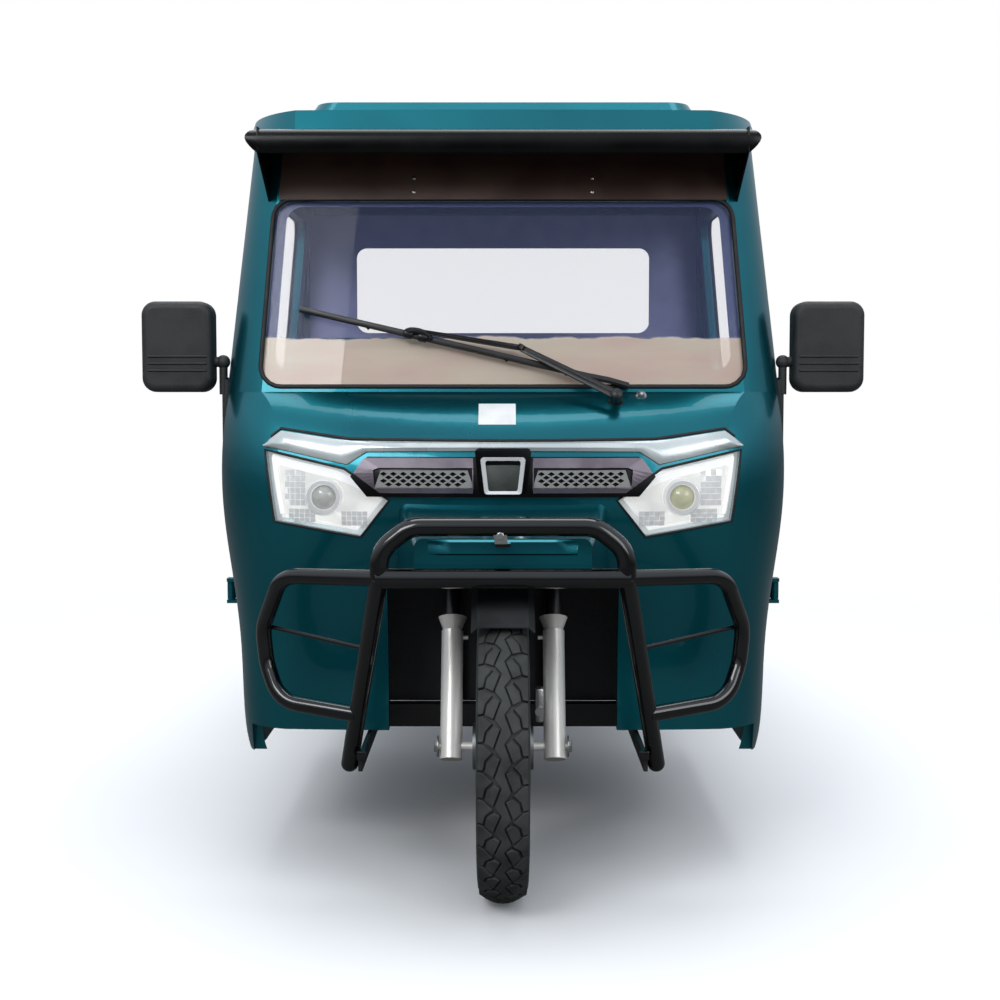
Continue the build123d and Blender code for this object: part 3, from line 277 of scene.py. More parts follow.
def make_materials():
    """All finishes by their material slot in the record."""
    return {
        "teal_paint": lacquered_steel(),
        # Moulded ABS: nearly black with a soft, low sheen
        "black_gloss": simple("gloss_black_abs", "#020203", "#050506", (0.2, 0.3), 90, spec=0.22),
        # Laminate board: even dark brown with a dull sheen, partly painted shade from the visor above it
        "dark_panel": simple("brown_laminate_panel_and_painted_shade", "#3d2c26", "#503d35", (0.3, 0.42), 150, spec=0.35),
        "tinted_glass": screen_glass(),
        # Toughened glass: hardly seen but for its reflection
        "clear_glass": window_glass("clear_toughened_glass", "#dfe8ea", 0.93),
        # Metallised plastic: a white bowl that looks lit by painted light, a faint emission of its own that
        # stands in for the daylight it gathers
        "reflector": simple(
            "vacuum_metallised_reflector", "#f0f1f0", "#fbfbf9", (0.12, 0.2), 40, metallic=0.15, painted_glow=0.2,
        ),
        # Moulded polycarbonate: clear with a sharp reflection
        "lamp_lens": window_glass("clear_polycarbonate_lens", "#ffffff", 0.9),
        # Stamped steel: light grey, only half metallic, with fine lines
        "mesh_metal": satin_metal("stamped_mesh_steel", "#8e8d8c", "#b5b4b2", 0.38, 0.4),
        # Baked enamel: dark greenish grey with a slight metal sheen
        "badge_dark": simple("dark_grey_enamel_plate", "#373b38", "#474c47", (0.25, 0.35), 60, metallic=0.3),
        # Painted trim: pale silver with a soft highlight
        "satin_silver": simple(
            "satin_silver_painted_trim", "#bfc8c9", "#d3d9d9", (0.22, 0.32), 120, metallic=0.45,
        ),
        # Moulded polypropylene: matt black with a leather-like grain
        "black_textured": grained_plastic("grained_black_polypropylene", "#1b1c1d", "#2b2d2e"),
        # Enamelled steel: nearly black with a soft highlight
        "black_satin_metal": simple("satin_black_enamel", "#0c0c0d", "#161617", (0.3, 0.42), 60, spec=0.5),
        # Powder coat: deep black with sharp lines of light
        "black_tube": simple(
            "gloss_black_powder_coat", "#030405", "#08090b", (0.1, 0.16), 70, grain_mm=3, grain_depth=0.05,
            coat=0.6, spec=0.35,
        ),
        # Moulded dash: matt dark grey with a grain
        "cabin_plastic": grained_plastic("dark_dash_moulding", "#202224", "#2e3032"),
        # Rubber mat: matt black with a grain
        "floor_rubber": grained_plastic("ribbed_floor_rubber", "#181818", "#232323"),
        # Painted sheet: dark and dull
        "cabin_steel": simple("dark_painted_sheet_steel", "#15181a", "#202427", (0.35, 0.5), 80),
        # Embossed vinyl: warm tan with a grain
        "seat_vinyl": grained_plastic("tan_seat_vinyl", "#8f7566", "#a78b7b"),
        # Chassis enamel: black, duller in patches
        "chassis_black": simple("black_chassis_enamel", "#0d0e0f", "#1b1c1d", (0.35, 0.55), 70),
        # Moulded case: matt blue-black with a grain
        "battery_case": grained_plastic("battery_case_polypropylene", "#1c1f22", "#282c30"),
        # Painted casting: black and rough to the eye
        "axle_iron": simple(
            "painted_cast_iron", "#121313", "#232424", (0.5, 0.7), 25, grain_mm=2.5, grain_depth=0.3,
        ),
        # Painted leaves: dull dark grey
        "spring_steel": simple("painted_spring_steel", "#191a1b", "#2a2b2c", (0.4, 0.6), 30),
        # Moulded acrylic: deep red with a wet shine
        "red_lens": simple("red_acrylic_lamp_lens", "#7a0d0d", "#a01616", (0.08, 0.15), 30, coat=0.8),
        # Painted tube: satin black
        "fork_black": simple("satin_black_fork_paint", "#101011", "#1b1b1c", (0.3, 0.45), 50),
        # Painted alloy: warm pale silver with fine lines
        "fork_silver": satin_metal("bright_painted_alloy_slider", "#eae7df", "#f6f3ec", 0.34, 0.3),
        # Chrome plate: bright metal with fine lines
        "bar_chrome": satin_metal("chromed_steel_tube", "#c8cacc", "#dcdedf", 0.08),
        "tyre_rubber": tyre_rubber(),
        # Cast alloy: mid grey metal with fine lines
        "rim_alloy": satin_metal("cast_alloy_wheel", "#8f9091", "#a6a7a8", 0.36),
        # Extruded rubber: matt black
        "seal_rubber": simple("extruded_seal_rubber", "#0d0d0e", "#171718", (0.5, 0.65), 30),
        # Silvered glass: nearly a mirror
        "mirror_silver": simple(
            "silvered_mirror_glass", "#dfe3e6", "#e6e9eb", (0.02, 0.04), 200, metallic=1.0,
        ),
        # Zinc plate: light grey metal with fine lines
        "bright_zinc": satin_metal("bright_zinc_plated_steel", "#a9abac", "#c9cac8", 0.3),
        "frit": ceramic_frit(),
        # Moulded lining: matt lavender grey with a grain; the lavender is a painted reflection of the sky
        # seen in the windscreen
        "wall_lining": grained_plastic("lining_with_painted_sky_reflection", "#a2a8dc", "#b0b4e6"),
        # Opal acrylic: white that looks lit by painted light, an emission of its own though no lamp lights it
        "light_guide": simple(
            "opal_acrylic_light_guide", "#f0f2f4", "#fdfdfd", (0.1, 0.2), 30, coat=0.5, painted_glow=0.45,
        ),
        # Projector glass: a grey dome with a wet shine
        "projector_grey": simple(
            "grey_projector_lens_glass", "#a9aaa4", "#c3c4bd", (0.03, 0.08), 25, coat=0.8,
        ),
        # Projector glass: a yellowish dome with a wet shine
        "projector_yellow": simple(
            "yellowish_projector_lens_glass", "#b9b887", "#d0cf9c", (0.03, 0.08), 25, coat=0.8,
        ),
        # Chromed plastic: nearly white, with painted light from a faint emission of its own
        "chrome": simple(
            "vacuum_chromed_plastic", "#e2e4e5", "#f2f2f2", (0.06, 0.12), 60, metallic=0.45, painted_glow=0.12,
        ),
        # Painted bevel: warm mid grey, half metallic
        "bevel_grey": simple("grey_painted_grille_bevel", "#655d66", "#786f79", (0.3, 0.4), 60, metallic=0.4),
        # Paper: flat white without a shine
        "white_paper": simple("blank_white_paper_sticker", "#e4e6e6", "#f2f3f3", (0.5, 0.6), 40),
        # Moulded acrylic: amber with a wet shine
        "amber_lens": simple("amber_acrylic_lamp_lens", "#b8590c", "#d06f14", (0.08, 0.15), 30, coat=0.8),
        # Moulded acrylic: pale grey with a wet shine
        "white_lens": simple("clear_acrylic_lamp_lens", "#d5d8da", "#e6e8e9", (0.06, 0.12), 30, coat=0.8),
        # Wheel enamel: pale silver with a dull highlight
        "rim_steel": simple("silver_wheel_enamel", "#9da0a2", "#b3b6b8", (0.3, 0.42), 60, metallic=0.6),
    }


MATERIALS = make_materials()


# Modelling helpers
def deselect():
    """Nothing is selected or active in object mode."""
    if bpy.context.object and bpy.context.object.mode != "OBJECT":
        bpy.ops.object.mode_set(mode="OBJECT")
    bpy.ops.object.select_all(action="DESELECT")


def choose(obj):
    """This piece alone selected and active in object mode."""
    deselect()
    obj.select_set(True)
    bpy.context.view_layer.objects.active = obj


def settle(obj, name, slot, body, replaces=(), smooth=True):
    """A finished piece: its place goes into its mesh, and it gets its finish, body and CAD nodes."""
    choose(obj)
    bpy.ops.object.transform_apply(location=True, rotation=True, scale=True)
    obj.name = name
    obj.data.name = name
    obj.data.materials.clear()
    obj.data.materials.append(MATERIALS[slot])
    if smooth:
        bpy.ops.object.shade_smooth_by_angle(angle=radians(35))
    obj.select_set(False)
    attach(obj, body)
    if replaces:
        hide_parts(*replaces)
    return obj


def join(objects):
    """Several meshes as one."""
    deselect()
    for obj in objects:
        obj.select_set(True)
    bpy.context.view_layer.objects.active = objects[0]
    bpy.ops.object.join()
    return bpy.context.object


AXLE = sum(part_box("front_tyre"), Vector()) / 2
STEER = next(joint for joint in frame["record"]["behaviour"]["joints"] if joint["name"] == "steer")
STEER_FOOT = Vector(STEER["pos_m"])
STEER_UP = Vector(STEER["axis"]).normalized()
STEER_BACK = Vector((1, 0, 0)).cross(STEER_UP) * -1


def at(x, y, z):
    """A place given in mm across, behind the front axle and above the ground."""
    return Vector((x * MM, AXLE.y + y * MM, z * MM))


def upright(points, y):
    """Places in an upright plane across the vehicle, from (a, b) pairs in mm and the plane's Y in metres."""
    return [Vector((a * MM, y, b * MM)) for a, b in points]


def edit(obj):
    """The piece alone in edit mode with all of it selected."""
    choose(obj)
    bpy.ops.object.mode_set(mode="EDIT")
    bpy.ops.mesh.select_all(action="SELECT")


def close_up(obj):
    """Doubles merged and faces turned outwards."""
    edit(obj)
    bpy.ops.mesh.remove_doubles(threshold=0.00001)
    bpy.ops.mesh.dissolve_degenerate(threshold=0.00001)
    bpy.ops.mesh.normals_make_consistent(inside=False)
    bpy.ops.object.mode_set(mode="OBJECT")
    return obj


def outline(points, filled=True):
    """A circle whose corners are pulled to these places: the start of a plate or a turned piece."""
    deselect()
    kind = "NGON" if filled else "NOTHING"
    bpy.ops.mesh.primitive_circle_add(vertices=len(points), radius=0.1, fill_type=kind)
    obj = bpy.context.object
    for vert, place in zip(obj.data.vertices, points):
        vert.co = place
    return obj


AXES = {"X": Vector((1, 0, 0)), "Y": Vector((0, 1, 0)), "Z": Vector((0, 0, 1))}


def turned(profile, centre, axis, steps=48):
    """A turned piece: a closed outline of (along, radius) in mm, spun about an axis through a place."""
    axis = AXES[axis] if isinstance(axis, str) else Vector(axis).normalized()
    out = axis.orthogonal().normalized()
    obj = outline([centre + axis * along * MM + out * radius * MM for along, radius in profile], filled=False)
    edit(obj)
    bpy.ops.mesh.spin(steps=steps, angle=2 * pi, center=centre, axis=axis)
    bpy.ops.object.mode_set(mode="OBJECT")
    return close_up(obj)


def finish_with(obj, kind, **settings):
    """A modifier, set and applied."""
    choose(obj)
    modifier = obj.modifiers.new(kind.title(), kind)
    for key, value in settings.items():
        setattr(modifier, key, value)
    bpy.ops.object.modifier_apply(modifier=modifier.name)
    return obj


def eased(obj, width_mm, segments=2, angle=30):
    """Edges sharper than an angle rounded off."""
    return finish_with(obj, "BEVEL", width=width_mm * MM, segments=segments, limit_method="ANGLE",
                       angle_limit=radians(angle))


def plate(points, push, ease=0.0, segments=2):
    """A flat-faced solid: an outline of places pushed along a vector in mm, with eased edges."""
    obj = outline(points)
    edit(obj)
    bpy.ops.mesh.extrude_region_move(TRANSFORM_OT_translate={"value": Vector(push) * MM})
    bpy.ops.object.mode_set(mode="OBJECT")
    close_up(obj)
    return eased(obj, ease, segments) if ease else obj


def brick(x, y, z, ease=2.0, segments=2):
    """A solid between two values on each axis, with eased edges."""
    points = [at(x[0], y[0], z[0]), at(x[1], y[0], z[0]), at(x[1], y[0], z[1]), at(x[0], y[0], z[1])]
    return plate(points, (0, y[1] - y[0], 0), ease, segments)


def pipe(points, radius_mm, closed=False, smooth=False, sides=4):
    """A round bead or rod along places."""
    deselect()
    bpy.ops.curve.primitive_nurbs_path_add()
    obj = bpy.context.object
    obj.data.splines.clear()
    spline = obj.data.splines.new("NURBS" if smooth else "POLY")
    spline.points.add(len(points) - 1)
    for point, place in zip(spline.points, points):
        point.co = (*place, 1)
    spline.use_cyclic_u = closed
    if smooth:
        spline.order_u = 3
        spline.use_endpoint_u = not closed
    obj.data.bevel_depth = radius_mm * MM
    obj.data.bevel_resolution = sides
    obj.data.use_fill_caps = not closed
    bpy.ops.object.convert(target="MESH")
    return close_up(bpy.context.object)


def rounded(corners, radius, steps=5):
    """A closed outline of (a, b) pairs in mm with its corners rounded."""
    done = []
    count = len(corners)
    for index, corner in enumerate(corners):
        here = Vector(corner)
        before = (Vector(corners[index - 1]) - here).normalized()
        after = (Vector(corners[(index + 1) % count]) - here).normalized()
        half = before.angle(after) / 2
        reach = radius / tan(half)
        centre = here + (before + after).normalized() * radius / sin(half)
        first, last = here + before * reach - centre, here + after * reach - centre
        for step in range(steps + 1):
            done.append(tuple(centre + first.lerp(last, step / steps).normalized() * radius))
    return done


def from_front(node, x, z):
    """What a ray along +Y at (x, z) in mm meets of a CAD node: whether it does, the place and the normal."""
    return NODES[node].ray_cast(Vector((x * MM, -3.0, z * MM)), Vector((0, 1, 0)))[:3]


def surface(node, x, z, lift=0.0):
    """The place on a CAD node's front that is straight ahead of (x, z) in mm, lifted off it by mm."""
    hit, place, normal = from_front(node, x, z)
    if not hit:
        raise RuntimeError(f"nothing of {node} lies behind x {x}, z {z}")
    return place + normal * lift * MM


def side_surface(node, y, z, side=1, lift=0.0):
    """The place on a CAD node's side that is straight across from (y, z) in mm, lifted off it by mm."""
    place = at(0, y, z)
    hit, place, normal, _ = NODES[node].ray_cast(
        Vector((side * 1.5, place.y, place.z)), Vector((-side, 0, 0)),
    )
    if not hit:
        raise RuntimeError(f"nothing of {node} lies beside y {y}, z {z}")
    return place + normal * lift * MM


def divided(points, step=None, count=None):
    """A closed outline of (a, b) pairs in mm with points about a step apart, or so many to each edge."""
    done = []
    for index, first in enumerate(points):
        first, last = Vector(first), Vector(points[(index + 1) % len(points)])
        parts = count or max(1, int((last - first).length / step))
        done += [tuple(first.lerp(last, share / parts)) for share in range(parts)]
    return done


def sheet_of(rows, thickness, ease=0.0):
    """A curved plate from rows of places, with a thickness in mm towards its back."""
    deselect()
    bpy.ops.mesh.primitive_grid_add(x_subdivisions=len(rows[0]) - 1, y_subdivisions=len(rows) - 1, size=1)
    obj = bpy.context.object
    for vert, place in zip(obj.data.vertices, [place for row in rows for place in row]):
        vert.co = place
    close_up(obj)
    finish_with(obj, "SOLIDIFY", thickness=thickness * MM, offset=-1)
    return eased(obj, ease, 2, 60) if ease else obj


def collar(outer, inner, thickness):
    """A flat ring between two closed outlines with as many places each, with a thickness in mm."""
    obj = join([outline(points, filled=False) for points in (outer, inner)])
    edit(obj)
    bpy.ops.mesh.bridge_edge_loops()
    bpy.ops.object.mode_set(mode="OBJECT")
    close_up(obj)
    return finish_with(obj, "SOLIDIFY", thickness=thickness * MM, offset=0)


def scaled(points, centre, across, up):
    """An outline of (a, b) pairs stretched about a centre."""
    return [(centre[0] + (a - centre[0]) * across, centre[1] + (b - centre[1]) * up) for a, b in points]


def bolt(place, axis, across, height=None):
    """A hexagon bolt head on a washer."""
    height = height or across * 0.6
    washer = turned(
        [(0, 0), (0, across * 0.95), (across * 0.12, across * 0.95), (across * 0.12, 0)], place, axis, 20,
    )
    head = turned([(across * 0.12, 0), (across * 0.12, across * 0.577), (height * 0.9, across * 0.577),
                   (height, across * 0.48), (height, 0)], place, axis, 6)
    return join([washer, head])


def steered(x, n, s):
    """A place in mm on the steering axis's own directions: across, behind it and up along it."""
    return STEER_FOOT + Vector((x * MM, 0, 0)) + STEER_BACK * n * MM + STEER_UP * s * MM


# Camera and light
class StageSettings(bpy.types.PropertyGroup):
    """Where the camera stands and how bright the studio is."""
    camera_distance: bpy.props.FloatProperty(
        name="Camera distance", description="From the front axle to the lens", default=2.9, unit="LENGTH"
    )
    camera_height: bpy.props.FloatProperty(
        name="Camera height", description="Lens height above the floor", default=0.988, unit="LENGTH"
    )
    world_strength: bpy.props.FloatProperty(
        name="Sky strength", description="Brightness of the surrounding soft light", default=1.0, min=0.0
    )


IMAGE_SIZE = 1000
FOCAL_PX = 1480
AXIS_PX = 503
HORIZON_PX = 400
SENSOR_MM = 36


class TRI_OT_stage(bpy.types.Operator):
    """Make the floor, the soft lights, the pale surroundings and the camera"""
    bl_idname = "tri.stage"
    bl_label = "Stage"

    def execute(self, context):
        settings = context.scene.tri_stage
        deselect()
        bpy.ops.mesh.primitive_plane_add(size=60, location=(0, 0, -0.0005))
        floor = context.object
        floor.name = "floor"
        material, tree, shader, _ = start("pale_studio_floor")
        shader.inputs["Base Color"].default_value = linear("#f4f4f4")
        shader.inputs["Roughness"].default_value = 0.9
        path = add(tree, "ShaderNodeLightPath")
        white = add(tree, "ShaderNodeEmission", {"Color": (1, 1, 1, 1), "Strength": 1.0})
        far = add(tree, "ShaderNodeTexCoord").outputs["Object"]
        length = add(tree, "ShaderNodeVectorMath", {"operation": "LENGTH"}, {0: far}).outputs["Value"]
        fade = add(
            tree, "ShaderNodeMapRange", {"From Min": 1.4, "From Max": 4.0, "To Min": 0.0, "To Max": 1.0},
            {"Value": length},
        ).outputs["Result"]
        direct = maths(tree, "MAXIMUM", path.outputs["Is Camera Ray"], path.outputs["Is Transmission Ray"])
        seen = maths(tree, "MULTIPLY", direct, fade)
        mix = add(tree, "ShaderNodeMixShader", {}, {0: seen, 1: shader.outputs[0], 2: white.outputs[0]})
        dull = add(tree, "ShaderNodeBsdfDiffuse", {"Color": linear("#6b6a68")})
        mix = add(tree, "ShaderNodeMixShader", {}, {
            0: maths(tree, "MAXIMUM", path.outputs["Is Diffuse Ray"], path.outputs["Is Glossy Ray"]),
            1: mix.outputs[0], 2: dull.outputs[0],
        })
        tree.links.new(mix.outputs[0], tree.nodes["Material Output"].inputs["Surface"])
        floor.data.materials.append(material)
        floor.select_set(False)

        world = bpy.data.worlds.new("studio")
        context.scene.world = world
        world.use_nodes = True
        sky = world.node_tree
        back = sky.nodes["Background"]
        direction = add(sky, "ShaderNodeTexCoord").outputs["Generated"]
        height = add(sky, "ShaderNodeSeparateXYZ", {}, {0: direction}).outputs["Z"]
        ramp = add(sky, "ShaderNodeValToRGB", {}, {
            "Fac": add(
                sky, "ShaderNodeMapRange", {"From Min": -1.0, "From Max": 1.0}, {"Value": height},
            ).outputs[0]
        })
        ramp.color_ramp.elements[0].color = linear("#2a2927")
        ramp.color_ramp.elements[0].position = 0.47
        ramp.color_ramp.elements[1].color = linear("#e9f1fb")
        ramp.color_ramp.elements[1].position = 0.72
        sky.links.new(ramp.outputs["Color"], back.inputs["Color"])
        back.inputs["Strength"].default_value = settings.world_strength
        plain = add(sky, "ShaderNodeBackground", {"Color": (1, 1, 1, 1), "Strength": 1.0})
        ray = add(sky, "ShaderNodeLightPath")
        clear = add(sky, "ShaderNodeMath", {"operation": "MAXIMUM"}, {
            0: ray.outputs["Is Camera Ray"], 1: ray.outputs["Is Transmission Ray"]
        })
        both = add(
            sky, "ShaderNodeMixShader", {}, {0: clear.outputs[0], 1: back.outputs[0], 2: plain.outputs[0]},
        )
        sky.links.new(both.outputs[0], sky.nodes["World Output"].inputs["Surface"])

        for name, place, aim, size, power in (
            ("key_front", (-2.2, -5.2, 3.6), (0, -0.8, 0.9), (2.4, 1.6), 95),
            ("fill_front", (2.8, -4.8, 2.6), (0, -0.8, 0.8), (1.8, 2.4), 45),
            ("top", (0.0, 0.4, 4.4), (0, 0, 0), (3.0, 4.0), 120),
        ):
            light = bpy.data.lights.new(name, "AREA")
            light.shape = "RECTANGLE"
            light.size, light.size_y = size
            light.energy = power
            lamp = bpy.data.objects.new(name, light)
            context.scene.collection.objects.link(lamp)
            lamp.location = place
            lamp.rotation_euler = (Vector(aim) - Vector(place)).to_track_quat("-Z", "Y").to_euler()

        data = bpy.data.cameras.new("camera")
        data.sensor_width = SENSOR_MM
        data.lens = FOCAL_PX / IMAGE_SIZE * SENSOR_MM
        data.shift_x = (IMAGE_SIZE / 2 - AXIS_PX) / IMAGE_SIZE
        camera = bpy.data.objects.new("camera", data)
        context.scene.collection.objects.link(camera)
        camera.location = (0, AXLE.y - settings.camera_distance, settings.camera_height)
        pitch = atan((IMAGE_SIZE / 2 - HORIZON_PX) / FOCAL_PX)
        camera.rotation_euler = (pi / 2 - pitch, 0, 0)
        context.scene.camera = camera
        context.scene.view_settings.view_transform = "Standard"
        return {"FINISHED"}


class TRI_OT_frame_finishes(bpy.types.Operator):
    """Give each piece of the frame its own finish"""
    bl_idname = "tri.frame_finishes"
    bl_label = "Frame finishes"

    def execute(self, context):
        slot_of = {row["node"]: row["material_slot"] for row in frame["record"]["subparts"]}
        for name, obj in NODES.items():
            obj.data.materials.clear()
            obj.data.materials.append(MATERIALS[slot_of[name]])
        return {"FINISHED"}


# Tyres: a carcass turned from its cross section and a tread of separate lands wrapped round it
TREAD_GROOVE = 3.0
TREAD_DEPTH = 6.5
# One pitch of tread: mm across from the middle at a 100 mm tyre, and share of the pitch along
TREAD_BLOCK = [(-17, 0.02), (-6, 0.12), (-18.5, 0.76), (-33, 0.58), (-29, 0.22)]
TREAD_SHOULDER = [(-20.5, -0.09), (-33, 0.17), (-37, 0.53), (-46, 0.53), (-46, -0.39), (-37, -0.37)]
TREAD_RIB_LEFT = [(-5, 0.11), (-8.3, 0.28), (-14.7, 0.61), (-18, 0.78), (-5, 1.11)]
TREAD_RIB_RIGHT = [(14.7, 0.11), (18, 0.28), (5, 0.61), (8.3, 0.78), (14.7, 1.11)]


class TyreSizes(bpy.types.PropertyGroup):
    """How coarse the tread is."""
    front_pitches: bpy.props.IntProperty(
        name="Front pitches", description="Tread blocks in one row round the front tyre", default=36, min=12,
        max=60
    )
    rear_pitches: bpy.props.IntProperty(
        name="Rear pitches", description="Tread blocks in one row round a rear tyre", default=34, min=12,
        max=60
    )


def crown(across, radius, width):
    """Height of the tyre's round crown above the axle at a distance from its middle, in mm."""
    reach, drop = width / 2 * 0.86, width * 0.17
    bend = (reach ** 2 + drop ** 2) / (2 * drop)
    return radius - bend + sqrt(bend ** 2 - min(abs(across), reach) ** 2)


def make_tyre(name, node, body, pitches):
    """A turned carcass under one pitch of tread lands that is spun round it."""
    low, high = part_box(node)
    centre = (low + high) / 2
    radius = (high.z - low.z) / 2 / MM
    width = (high.x - low.x) / MM
    bead = min((v.co.yz - centre.yz).length for v in NODES[node].data.vertices) / MM
    half, wall = width / 2, radius - bead
    right = [
        (half * 0.66, bead + 1), (half * 0.72, bead + wall * 0.03), (half * 0.84, bead + wall * 0.12),
        (half * 0.93, bead + wall * 0.2), (half * 0.955, bead + wall * 0.23),
        (half * 0.94, bead + wall * 0.25),
        (half * 0.985, bead + wall * 0.4), (half * 0.995, bead + wall * 0.52),
        (half * 0.985, bead + wall * 0.6),
        (half * 0.96, bead + wall * 0.7), (half * 0.945, bead + wall * 0.71),
        (half * 0.92, bead + wall * 0.78),
        (half * 0.86, crown(half * 0.86, radius, width) - TREAD_DEPTH - 1),
    ]
    top = [
        (
            half * share, crown(half * share, radius, width) - TREAD_DEPTH,
        ) for share in (0.6, 0.3, 0, -0.3, -0.6)
    ]
    profile = right + top + [(-across, up) for across, up in reversed(right)]
    carcass = turned(profile, centre, "X", 96)

    pitch = 2 * pi / pitches
    scale = width / 100

    def wrapped(across, along, lift=0.0):
        reach = (crown(across * scale, radius, width) + lift) * MM
        return centre + Vector(
            (across * scale * MM, -reach * cos(along * pitch), -reach * sin(along * pitch))
        )

    lands = []
    for points in (TREAD_BLOCK, TREAD_SHOULDER):
        for side in (1, -1):
            shift = 0 if side == 1 else 0.5
            lands.append(outline([wrapped(a * side, s + shift) for a, s in points]))
            edit(lands[-1])
            bpy.ops.mesh.poke()
            bpy.ops.object.mode_set(mode="OBJECT")
            middle = lands[-1].data.vertices[-1]
            across = (middle.co.x - centre.x) / MM
            out = (middle.co - centre) * Vector((0, 1, 1))
            middle.co = centre + Vector((across * MM, 0, 0)) + out.normalized() * crown(
                across, radius, width,
            ) * MM
    for index in range(4):
        lefts, rights = TREAD_RIB_LEFT[index:index + 2], TREAD_RIB_RIGHT[index:index + 2]
        corners = [(lefts[0][0] + TREAD_GROOVE, lefts[0][1]), (rights[0][0] - TREAD_GROOVE, rights[0][1]),
                   (rights[1][0] - TREAD_GROOVE, rights[1][1]), (lefts[1][0] + TREAD_GROOVE, lefts[1][1])]
        lands.append(outline([wrapped(a, s) for a, s in corners]))
    tread = join(lands)
    edit(tread)
    bpy.ops.mesh.spin(steps=pitches, dupli=True, angle=2 * pi, center=centre, axis=(1, 0, 0))
    bpy.ops.object.mode_set(mode="OBJECT")
    close_up(tread)
    bm = bmesh.new()
    bm.from_mesh(tread.data)
    for face in bm.faces:
        out = (face.calc_center_median() - centre) * Vector((0, 1, 1))
        if face.normal.dot(out) < 0:
            face.normal_flip()
    bm.to_mesh(tread.data)
    bm.free()
    finish_with(tread, "SOLIDIFY", thickness=(TREAD_DEPTH + 2) * MM, offset=-1)
    eased(tread, 0.7, 1, 50)
    settle(join([carcass, tread]), name, "tyre_rubber", body, replaces=[node])


class TRI_OT_tyres(bpy.types.Operator):
    """Make the three tyres with their treads and side walls"""
    bl_idname = "tri.tyres"
    bl_label = "Tyres"

    def execute(self, context):
        sizes = context.scene.tri_tyres
        make_tyre("front_tyre_treaded", "front_tyre", "front_wheel", sizes.front_pitches)
        make_tyre("rear_tyre_right_treaded", "rear_tyre_right", "rear_wheel_right", sizes.rear_pitches)
        make_tyre("rear_tyre_left_treaded", "rear_tyre_left", "rear_wheel_left", sizes.rear_pitches)
        return {"FINISHED"}


# Glazing: rubber seals round the glass
SCREEN = [(-512, 1016), (512, 1016), (488, 1416), (-488, 1416)]
REAR_WINDOW = [(-411, 1167), (411, 1167), (411, 1413), (-411, 1413)]
DOOR_WINDOW = [(487, 1057), (1119, 1057), (1119, 1465), (487, 1465)]
SEAL_RADIUS = 5.0


class TRI_OT_seals(bpy.types.Operator):
    """Lay the rubber seals round the windscreen, the rear window and the door windows"""
    bl_idname = "tri.seals"
    bl_label = "Window seals"

    def execute(self, context):
        line = divided(rounded(SCREEN, 44), step=40)
        seal = pipe([surface("windscreen_frame", x, z, -1) for x, z in line], SEAL_RADIUS, closed=True)
        settle(seal, "windscreen_seal", "seal_rubber", "root")
        back_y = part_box("back_panel")[1].y
        line = rounded(REAR_WINDOW, 33)
        seal = pipe(upright(line, back_y), SEAL_RADIUS, closed=True)
        settle(seal, "rear_window_seal", "seal_rubber", "root")
        line = divided(rounded(DOOR_WINDOW, 48), step=60)
        for side, node in ((1, "door_right"), (-1, "door_left")):
            seal = pipe([side_surface(node, y, z, side, -1) for y, z in line], SEAL_RADIUS, closed=True)
            settle(seal, f"{node}_window_seal", "seal_rubber", node)
        return {"FINISHED"}


# Wiper: a hinged arm from its pivot to a bracket that carries the blade
BLADE_LEFT, BLADE_RIGHT = (-427, 1171), (262, 1010)
WIPER_PIVOT = (233, 986)
WIPER_ELBOW = (38, 1085)
WIPER_SADDLE = (-182, 1122)
# Outwards from the raked windscreen
GLASS_OUT = Vector((0, -0.94, 0.34))


def glass_at(x, z, lift):
    """A place off the windscreen or, below it, off the frame and the cowl under it."""
    for node, step in (("windscreen", 0), ("windscreen_frame", 0), ("front_cowl", 0), ("windscreen", 2)):
        hit, place, _ = from_front(node, x, z + step)
        if hit:
            return place + GLASS_OUT * lift * MM
    raise RuntimeError(f"no glass or cowl lies behind x {x}, z {z}")


def along_blade(share, lift, down=0.0):
    """A place along the wiper blade, lifted off the glass by mm."""
    x = BLADE_LEFT[0] + (BLADE_RIGHT[0] - BLADE_LEFT[0]) * share
    z = BLADE_LEFT[1] + (BLADE_RIGHT[1] - BLADE_LEFT[1]) * share
    return glass_at(x, z, lift) + Vector((0, 0, -down * MM))


